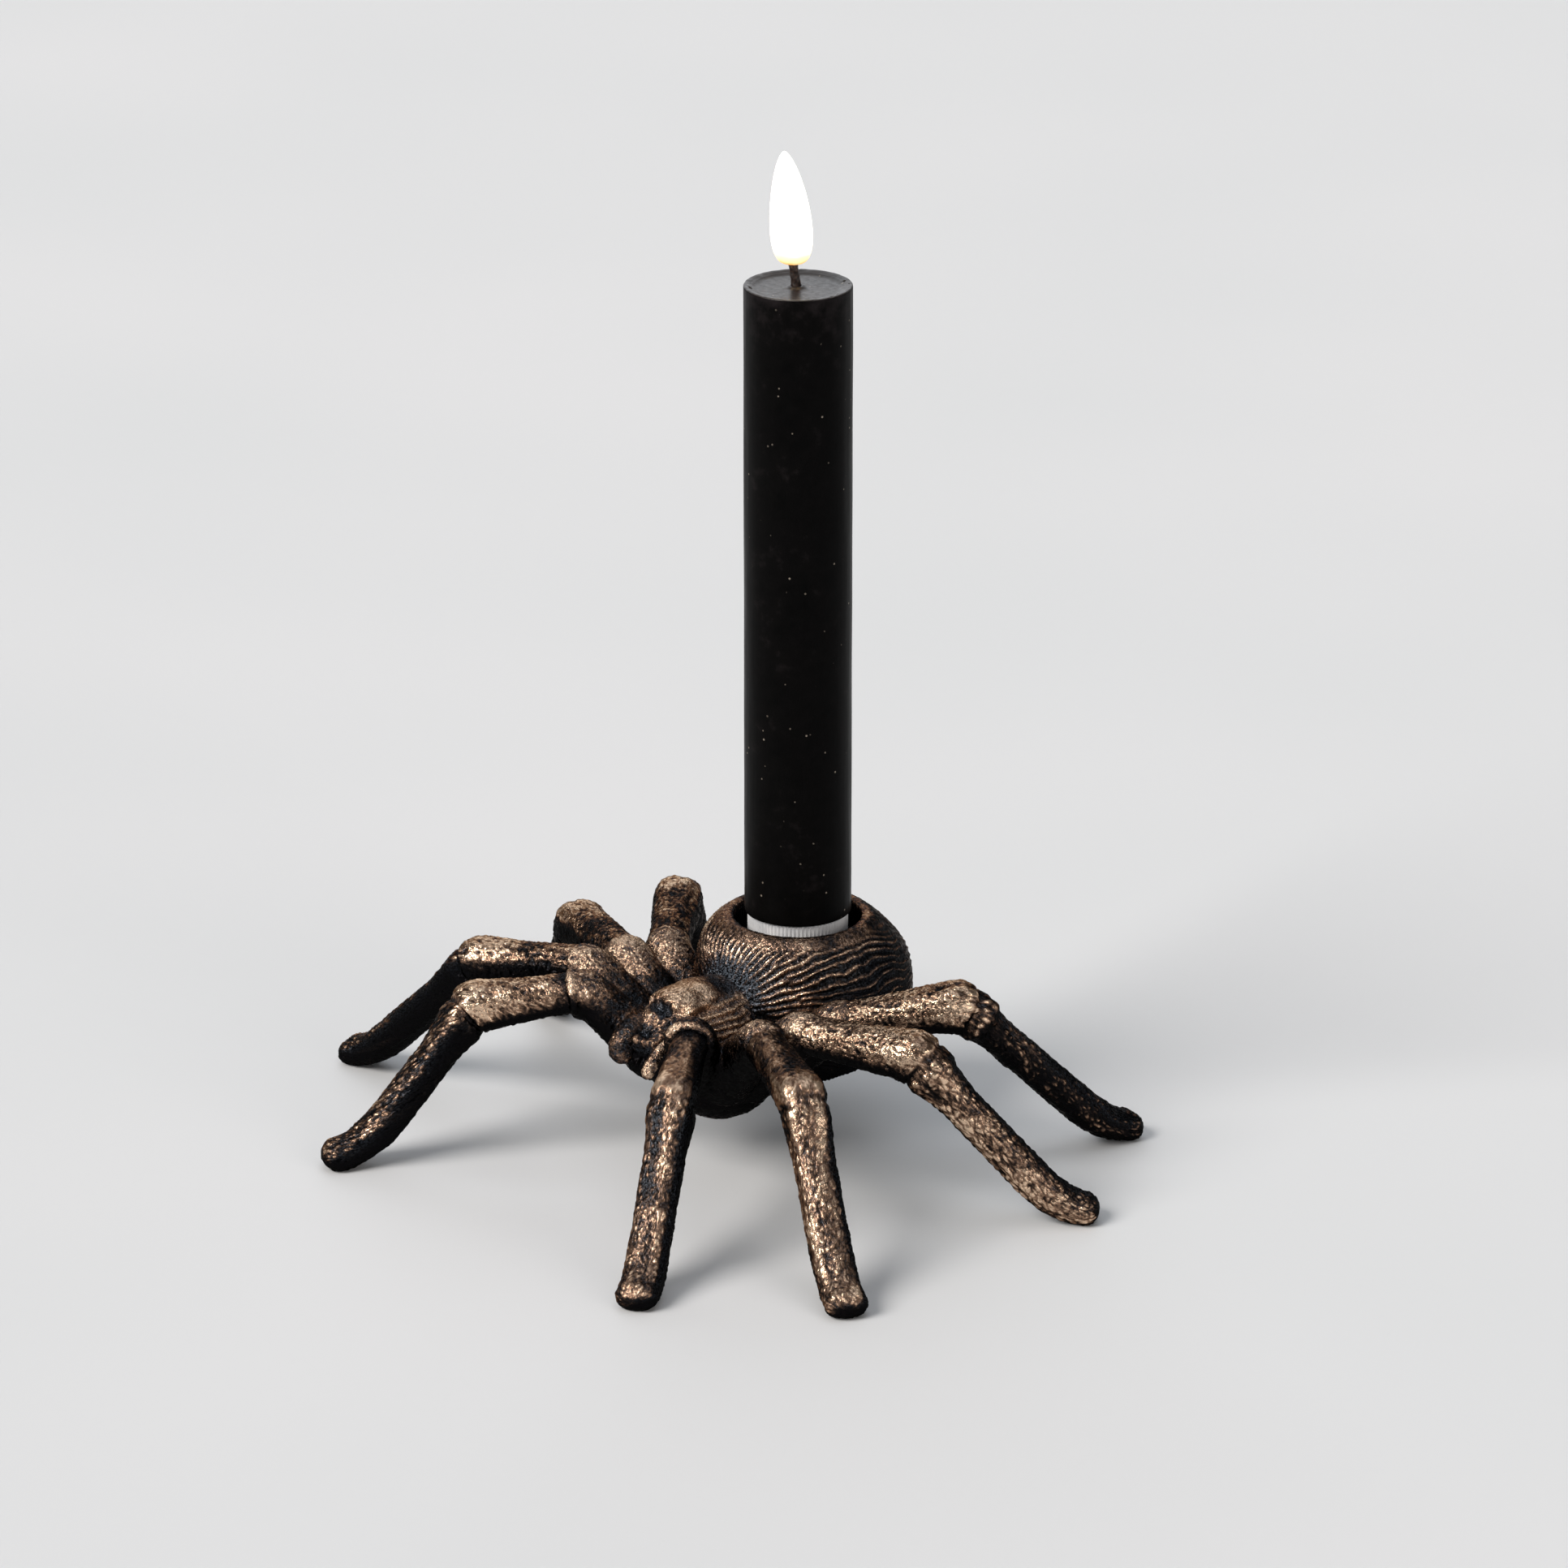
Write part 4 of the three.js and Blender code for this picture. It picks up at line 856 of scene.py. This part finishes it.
def fangPiece(name, seed):
    # A short finger that hangs from the head: circles along a bent path, blunt at the end
    shape, step = fangShape[name], 0.14
    path, marks = smoothPath([spot(1, *p) for p in shape["points"]], step, 0.8)
    s = np.arange(len(path)) * step
    size = np.interp(s, marks, shape["sizes"]) * roundEnd(s, s[-1], shape["sizes"][-1], 0.998)
    points, quads, tris = closedGrid(ovalRings(path, size, size, 64)[0])
    normals = vertexNormals(points, quads, tris)
    skin = pebbles(points, seed, 0.8)
    points = points + normals * (0.16 * (skin - 0.4) + 0.12 * waves(points, 1.8, seed))[:, None]
    rub = shape["rub"] + 0.3 * waves(points, 2.5, seed + 1)
    reliefAndShade = 0.5 + 0.6 * (skin - 0.2)
    return metalPiece(name.replace("fang", "mouth_finger"), (points, quads, tris), reliefAndShade, rub,
                      0.4 * (1 - reliefAndShade), points, np.zeros(len(points)))


for number, name in enumerate(fangShape):
    dressMetal(fangPiece(name, 91 + number), name)
print("fangs made")

# Candle

lean = np.array([-0.663, -0.749])  # the way the CAD lens and wick lean as they rise
flameShape = {
    "height": 23, "radius": 4.2, "wall": 0.8, "foot": 0.25, "tip": 0.62,
    "offset": 1.05, "slope": 0.04, "bow": 0.0015, "columns": 72,
}
wickShape = {"radius": 0.95, "offset": 0.4, "twist": 0.05, "lumps": 0.06, "columns": 40}
wax = {
    "radius": 11.0, "bore": 9.1, "edge": 0.45, "footEdge": 0.3, "dish": 0.7, "topWall": 4.0, "hole": 1.08,
    "climb": 0.5, "waver": 0.05, "pits": 0.3, "columns": 240,
    "side": {"gloss": 0.04, "colours": ("#030303", "#080707", "#1f1b1c")},  # dark, pale, and its bloom
    "top": {"gloss": 0.6, "colours": ("#15110f", "#211b18", "#2b2320")},  # glossier where it was melted flat
    "speck": "#8d8377", "speckMm": 2.2, "bloomMm": 14,
}


def blackWax(name, gloss, colours):
    # Dyed paraffin over plastic: near black, satin, with faint drag marks down the side, a grey-brown bloom
    # that gathers in patches near the top, and dust-fine pale specks
    material, add, place = newMaterial(name)
    drawnDown = add("Mapping", {"Vector": place, "Scale": (1.0, 1.0, 0.06)})
    drag = add("TexNoise", {"Vector": drawnDown, "Scale": 1 / (1.2 * mm), "Roughness": 0.6})
    cloud, small, thin = (
        add("TexNoise", {"Vector": place, "Scale": 1 / (size * mm), "Detail": detail, "Roughness": rough})
        for size, detail, rough in ((9.0, 3.0, 0.6), (2.6, 3.0, 0.6), (3.0, 1.0, 0.5)))
    grid = add("TexVoronoi", {"Vector": place, "Scale": 1 / (wax["speckMm"] * mm), "Randomness": 1.0})
    specks = add("Math", (add("MapRange", (grid.outputs["Distance"], 0.07, 0.12, 0.85, 0.0)),
                          add("MapRange", (thin, 0.55, 0.62, 0.0, 1.0))), operation="MULTIPLY")
    height = add("SeparateXYZ", (place,)).outputs["Z"]
    top = waxHigh[2] * mm
    bloom = add("MapRange", (height, top - wax["bloomMm"] * mm, top, 0.0, 0.17))
    mottle = add("Math", (small, 0.5, bloom), operation="MULTIPLY_ADD")
    mottle = add("Math", (cloud, 0.5, mottle), operation="MULTIPLY_ADD")
    body = add("ValToRGB", (mottle,), list(zip((0.3, 0.58, 0.8), colours)))
    mixed = add("Mix", {"Factor": specks, "A": body, "B": hexColour(wax["speck"])}, data_type="RGBA")
    uneven = add("Math", (drag, 0.35, cloud), operation="MULTIPLY_ADD")
    return shaded(material, add, {
        "Base Color": mixed.outputs["Result"], "Roughness": add("MapRange", (drag, 0.3, 0.7, 0.3, 0.46)),
        "IOR": 1.44, "Specular IOR Level": gloss,
        "Normal": add("Bump", {"Height": uneven, "Distance": 0.12 * mm, "Strength": 0.6})})


def waxPiece():
    # A profile turned round the candle's axis: rounded foot, straight side, rounded shoulder, and a dished top
    # whose middle climbs the wick; then back down the bore. The side is a little uneven, as dipped wax is.
    radius, bore, edge, footEdge, hole = (wax[key] for key in ("radius", "bore", "edge", "footEdge", "hole"))
    low, high = waxLow[2], waxHigh[2]
    roof = high - wax["topWall"]
    quarter = np.linspace(0, math.pi / 2, 9)
    across = np.linspace(radius - edge - 0.2, hole + 0.02, 44)
    dish = high - wax["dish"] * ease01(radius - edge - across, 0, 2.6) + wax["climb"] * bell(across - hole, 0.8)
    profile = np.concatenate([
        profilePart(radius - footEdge * (1 - np.sin(quarter)), low + footEdge * (1 - np.cos(quarter))),
        profilePart(radius, np.linspace(low + footEdge, high - edge, 190)[1:-1]),
        profilePart(radius - edge + edge * np.cos(quarter), high - edge + edge * np.sin(quarter)),
        profilePart(across, dish),
        profilePart(hole, np.linspace(high - 0.6, roof, 6)),
        profilePart(np.linspace(hole + 0.2, bore, 8), roof),
        profilePart(bore, np.linspace(roof - 1, low, 12)),
        profilePart([bore + 0.6], low)])
    aside = wickShape["offset"] * (1 - ease01(profile[:, 0], 1.2, 4))  # the hole stands where the wick does
    rows, columns = len(profile), wax["columns"]
    points = turnedRings(profile[:, :1], profile[:, 1:], axis + lean * aside[:, None], columns).reshape(-1, 3)
    starts = np.arange(rows)[:, None] * columns
    quads = bands(starts, np.roll(starts, -1), columns)  # the profile closes on itself
    none = np.zeros((0, 3), int)
    normals = vertexNormals(points, quads, none)
    outer = np.hypot(points[:, 0] - axis[0], points[:, 1] - axis[1]) > bore + 0.3
    topSide = (points[:, 2] > high - 1.5) & (normals[:, 2] > 0.5)
    near, _ = cells(points, 1.5, 72)
    pits = wax["pits"] * (1 - ease01(near, 0.12, 0.25)) * (waves(points, 3, 73) > 0.05)
    h = np.where(topSide, wax["waver"] * waves(points, 1.5, 74) - pits - 0.05,
                 wax["waver"] * waves(points * [1, 1, 0.35], 6, 71) - 0.07)
    points = points + normals * (h * outer)[:, None]
    return meshPiece("wax_body", points, quads, none), topSide[quads].all(axis=1)


waxBody, onTop = waxPiece()
dress(waxBody, blackWax("black_wax", **wax["side"]), "wax_shell")
waxBody.data.materials.append(blackWax("melted_wax", **wax["top"]))
waxBody.data.polygons.foreach_set("material_index", onTop.astype(np.int32))
print("wax made")

# Flame and wick

def flameGlow():
    # Frosted resin lit from inside: nearly white, with the warm diode showing as yellow and orange at its foot
    material, add, place = newMaterial("frosted_flame_resin")
    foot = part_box("flame_lens")[0][2]
    height = add("SeparateXYZ", (place,)).outputs["Z"]
    cloud = add("TexNoise", {"Vector": place, "Scale": 1 / (3.0 * mm), "Detail": 1.0})
    share = add("Math", (add("MapRange", (height, foot, foot + flameShape["height"] * mm, 0.0, 1.0)),
                         add("MapRange", (cloud, 0.3, 0.7, -0.012, 0.012))), operation="ADD")
    glow = add("ValToRGB", (share,), [
        (0.0, "#ffa94e"), (0.02, "#ffd088"), (0.05, "#ffe6b0"), (0.12, "#fff0cc"), (0.25, "#fff6e4")])
    return shaded(material, add, {
        "Base Color": glow, "Roughness": 0.4, "Emission Color": glow,
        "Emission Strength": add("MapRange", (share, 0.09, 0.24, 0.85, 5.0))})


def flamePiece():
    # Half width = radius x share^foot x (1 - share)^tip, scaled to its peak, round a line that leans and bends
    f, columns = flameShape, flameShape["columns"]
    share = (1 - np.cos(np.linspace(0.12, math.pi - 0.03, 90))) / 2
    peak = f["foot"] / (f["foot"] + f["tip"])
    width, widest = (at ** f["foot"] * (1 - at) ** f["tip"] for at in (share, peak))
    mouth = (wickShape["radius"] + 0.3) * (share < 0.5)
    outer = profilePart(np.maximum(f["radius"] * width / widest, mouth), share * f["height"])
    inner = profilePart(np.maximum(outer[:, 0] * (1 - f["wall"] / f["radius"]), mouth),
                        f["wall"] + share * (f["height"] - 2.5 * f["wall"]))[::-1]
    profile = np.concatenate([outer, inner])
    z = profile[:, 1:]
    middles = axis + lean * (f["offset"] + f["slope"] * z + f["bow"] * z ** 2)
    points = turnedRings(profile[:, :1], nodeBox("flame_lens")[0][2] + z, middles, columns).reshape(-1, 3)
    starts = np.arange(len(profile))[:, None] * columns
    tip, innerTip = (len(outer) - 1) * columns, len(outer) * columns
    kept = starts[:, 0] != tip  # no faces from the outer tip to the inner one
    quads = bands(starts[kept], np.roll(starts, -1)[kept], columns)
    ends = [points[first:first + columns].mean(axis=0) for first in (tip, innerTip)]
    tris = np.concatenate([fan(tip, len(points), columns), turnedOver(fan(innerTip, len(points) + 1, columns))])
    return meshPiece("flame", np.concatenate([points, ends]), quads, tris)


def wickMaterial():
    # Cotton-look sleeve dipped in black wax: dark brown, lumpy satin
    material, add, place = newMaterial("waxed_wick_sleeve")
    lumps = add("TexNoise", {"Vector": place, "Scale": 1 / (0.7 * mm), "Roughness": 0.6})
    return shaded(material, add, {
        "Base Color": add("ValToRGB", (lumps,), [(0.35, "#120d0b"), (0.65, "#3a2a22")]),
        "Roughness": add("MapRange", (lumps, 0.3, 0.7, 0.35, 0.6)),
        "Normal": add("Bump", {"Height": lumps, "Distance": 0.15 * mm, "Strength": 0.8})})


def wickPiece():
    # Rings on the CAD wick's leaning line, with a slow twist of lumps on them
    low, high = nodeBox("wick_stem")
    flameZ = nodeBox("flame_lens")[0][2]
    foot, tip, columns = wickShape["offset"], flameShape["offset"], wickShape["columns"]
    corners = [(foot, low[2]), (foot, waxHigh[2]), (tip, flameZ), (tip, high[2])]
    path, _ = smoothPath([np.append(axis + lean * off, z) for off, z in corners], 0.12, 0.5)
    angle = np.linspace(0, 2 * math.pi, columns, endpoint=False)
    radius = wickShape["radius"] + wickShape["twist"] * np.sin(2 * (angle + path[:, 2:] * 1.6))
    points, quads, tris = closedGrid(turnedRings(radius, path[:, 2:], path[:, :2], columns))
    normals = vertexNormals(points, quads, tris)
    points = points + normals * (wickShape["lumps"] * waves(points, 0.8, 81))[:, None]
    points[:, 2] = np.clip(points[:, 2], low[2], high[2])
    return meshPiece("wick", points, quads, tris)


dress(flamePiece(), flameGlow(), "flame_lens")
dress(wickPiece(), wickMaterial(), "wick_stem")
print("flame and wick made")

# Plain inner parts keep their CAD shape

def plastic(name, low, high, roughness, milky=0.0):
    # Moulded plastic: even colour with a faint flow mottle and a fine spark-eroded grain
    material, add, place = newMaterial(name)
    mottle, fine = (add("TexNoise", {"Vector": place, "Scale": 1 / (size * mm)})
                    for size in (2.5, 0.25))
    return shaded(material, add, {
        "Base Color": add("ValToRGB", (mottle,), [(0.3, low), (0.7, high)]),
        "Roughness": add("MapRange", (mottle, 0.3, 0.7, roughness - 0.05, roughness + 0.05)), "IOR": 1.49,
        "Subsurface Weight": milky, "Subsurface Radius": (1.0, 1.0, 1.0), "Subsurface Scale": 0.9 * mm,
        "Normal": add("Bump", {"Height": fine, "Distance": 0.02 * mm, "Strength": 0.5})})


def platedSteel():
    # Nickel on spring steel: bright and slightly brushed along the strip
    material, add, place = newMaterial("nickel_plated_steel")
    along = add("Mapping", {"Vector": place, "Scale": (1, 1, 0.08)})
    brush = add("TexNoise", {"Vector": along, "Scale": 1 / (0.3 * mm), "Roughness": 0.6})
    return shaded(material, add, {
        "Base Color": add("ValToRGB", (brush,), [(0.3, "#a9a69d"), (0.7, "#cfccc4")]), "Metallic": 1.0,
        "Roughness": add("MapRange", (brush, 0.3, 0.7, 0.22, 0.38))})


def cellSleeve():
    # Printed shrink sleeve on a zinc cell, left plain: slate with a copper band at the top
    material, add, place = newMaterial("shrink_sleeve")
    height = add("SeparateXYZ", (place,)).outputs["Z"]
    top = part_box("battery_upper")[1][2]
    mottle = add("TexNoise", {"Vector": place, "Scale": 1 / (2.0 * mm)})
    mixed = add("Mix", {"Factor": add("MapRange", (height, top - 0.0095, top - 0.0093, 0.0, 1.0)),
                        "A": add("ValToRGB", (mottle,), [(0.3, "#333d48"), (0.7, "#3c4855")]),
                        "B": hexColour("#a8683c")}, data_type="RGBA")
    return shaded(material, add, {"Base Color": mixed.outputs["Result"],
                                  "Roughness": add("MapRange", (mottle, 0.3, 0.7, 0.28, 0.36))})


finishes = [
    (plastic("white_abs", "#dfe0e3", "#f2f2f4", 0.42, milky=0.6), ("battery_tube", "wick_plug", "battery_cap")),
    (plastic("black_abs", "#171718", "#222223", 0.48), ("switch_housing", "switch_slider", "timer_chip")),
    (plastic("green_laminate", "#1f4d31", "#2b6440", 0.4), ("circuit_board",)),
    (plastic("wire_insulation", "#5a1512", "#741d18", 0.5), ("lead_wire_left", "lead_wire_right")),
    (plastic("warm_led_resin", "#f3d9a0", "#ffe9bb", 0.2), ("led",)),
    (platedSteel(), ("top_contact", "contact_strip", "cap_contact", "cap_spring")),
    (cellSleeve(), ("battery_lower", "battery_upper")),
]
for material, parts in finishes:
    for part in parts:
        nodes[part].data.materials.clear()
        nodes[part].data.materials.append(material)
print("inner parts dressed:", sum(len(parts) for _, parts in finishes))

# Stage, light and camera

stage = {
    "size": 60.0, "floor": ("#e1e3e5", "#e5e6e8"), "cloudMm": 180.0,
    "wallColour": "#e4e6e8", "horizon": 0.95, "sky": 0.2,
    # direction as the camera sees it, right, away and up; width in degrees; watts on a square metre; colour
    "lights": {
        "key": ((-0.74, -0.45, 0.72), 34, 2.65, "#fffaf4"),
        "top": ((0.1, 0.1, 1.2), 49, 0.45, "#eef3fa"),
        "fill": ((0.75, -0.75, 0.4), 30, 0.54, "#fff6ee"),
        "wall": ((-0.2, 1.6, 0.8), 48, 0.7, "#f2f6fb"),
    },
}
# The photograph's camera, fitted to the candle, the cup and the feet
photo = {
    "imagePx": 1932, "focalPx": 9718.5, "pitch": 20.71, "distanceMm": 1613.6, "sensorMm": 36,
    "waxFootPx": (983, 1118.6),  # the middle of the wax's foot
    "forward": (-0.749, -0.662),  # the spider's heading as the camera sees it, right and away
}


def makeFloor():
    # A plain pale floor, very slightly clouded, like painted board
    material, add, place = newMaterial("studio_floor")
    scale = 1 / (stage["cloudMm"] * mm)
    cloud = add("TexNoise", {"Vector": place, "Scale": scale, "Detail": 1.0})
    shaded(material, add, {"Base Color": add("ValToRGB", (cloud,), list(zip((0.3, 0.7), stage["floor"]))),
                           "Roughness": 0.75})
    half = stage["size"] / 2
    mesh = bpy.data.meshes.new("floor")
    corners = [(-half, -half, 0), (half, -half, 0), (half, half, 0), (-half, half, 0)]
    mesh.from_pydata(corners, [], [(0, 1, 2, 3)])
    mesh.materials.append(material)
    linked("floor", mesh)


def makeWorld():
    # A studio wall as pale as the floor up to 3 degrees above it, and the dim ceiling from 12 degrees up
    world = bpy.data.worlds.new("studio")
    bpy.context.scene.world = world
    world.use_nodes = True
    world.node_tree.nodes.clear()
    add = nodeAdder(world.node_tree)
    height = add("SeparateXYZ", (add("TexCoord").outputs["Generated"],)).outputs["Z"]
    glow = add("MapRange", (height, 0.05, 0.21, stage["horizon"], stage["sky"]))
    wall = add("Background", {"Color": hexColour(stage["wallColour"]), "Strength": glow})
    add("OutputWorld", {"Surface": wall})


def makeCamera():
    # Gives back the level directions to the camera's right and away from it, where the spider's heading is -Y
    pitch = math.radians(photo["pitch"])
    fx, fy = unit(np.array(photo["forward"]))
    right, away, upright = np.array([-fy, -fx, 0.0]), np.array([fx, -fy, 0.0]), np.array([0.0, 0.0, 1.0])
    look = math.cos(pitch) * away - math.sin(pitch) * upright
    up = math.sin(pitch) * away + math.cos(pitch) * upright
    dx, dy = ((px - photo["imagePx"] / 2) / photo["focalPx"] for px in photo["waxFootPx"])
    place = np.append(axis, waxLow[2]) - (look + dx * right - dy * up) * photo["distanceMm"]
    data = bpy.data.cameras.new("photo_camera")
    data.sensor_width = photo["sensorMm"]
    data.lens = photo["focalPx"] / photo["imagePx"] * photo["sensorMm"]
    camera = linked("photo_camera", data)
    camera.location = Vector(place * mm)
    camera.rotation_euler = Vector(look).to_track_quat("-Z", "Y").to_euler()
    bpy.context.scene.camera = camera
    return right, away


def softLight(name, towards, width, power, colour):
    # A soft box so far off that it lights the whole floor alike, as wide as the object sees it
    light = bpy.data.lights.new(name, "SUN")
    light.angle = math.radians(width)
    light.energy = power
    light.color = hexColour(colour)[:3]
    linked(name, light).rotation_euler = Vector(towards).to_track_quat("Z", "Y").to_euler()


rightRow, awayRow = makeCamera()
makeFloor()
makeWorld()
for name, ((right, away, up), width, power, colour) in stage["lights"].items():
    softLight(name, rightRow * right + awayRow * away + np.array([0, 0, up]), width, power, colour)
bpy.context.scene.view_settings.view_transform = "Standard"
print("stage, light and camera made")
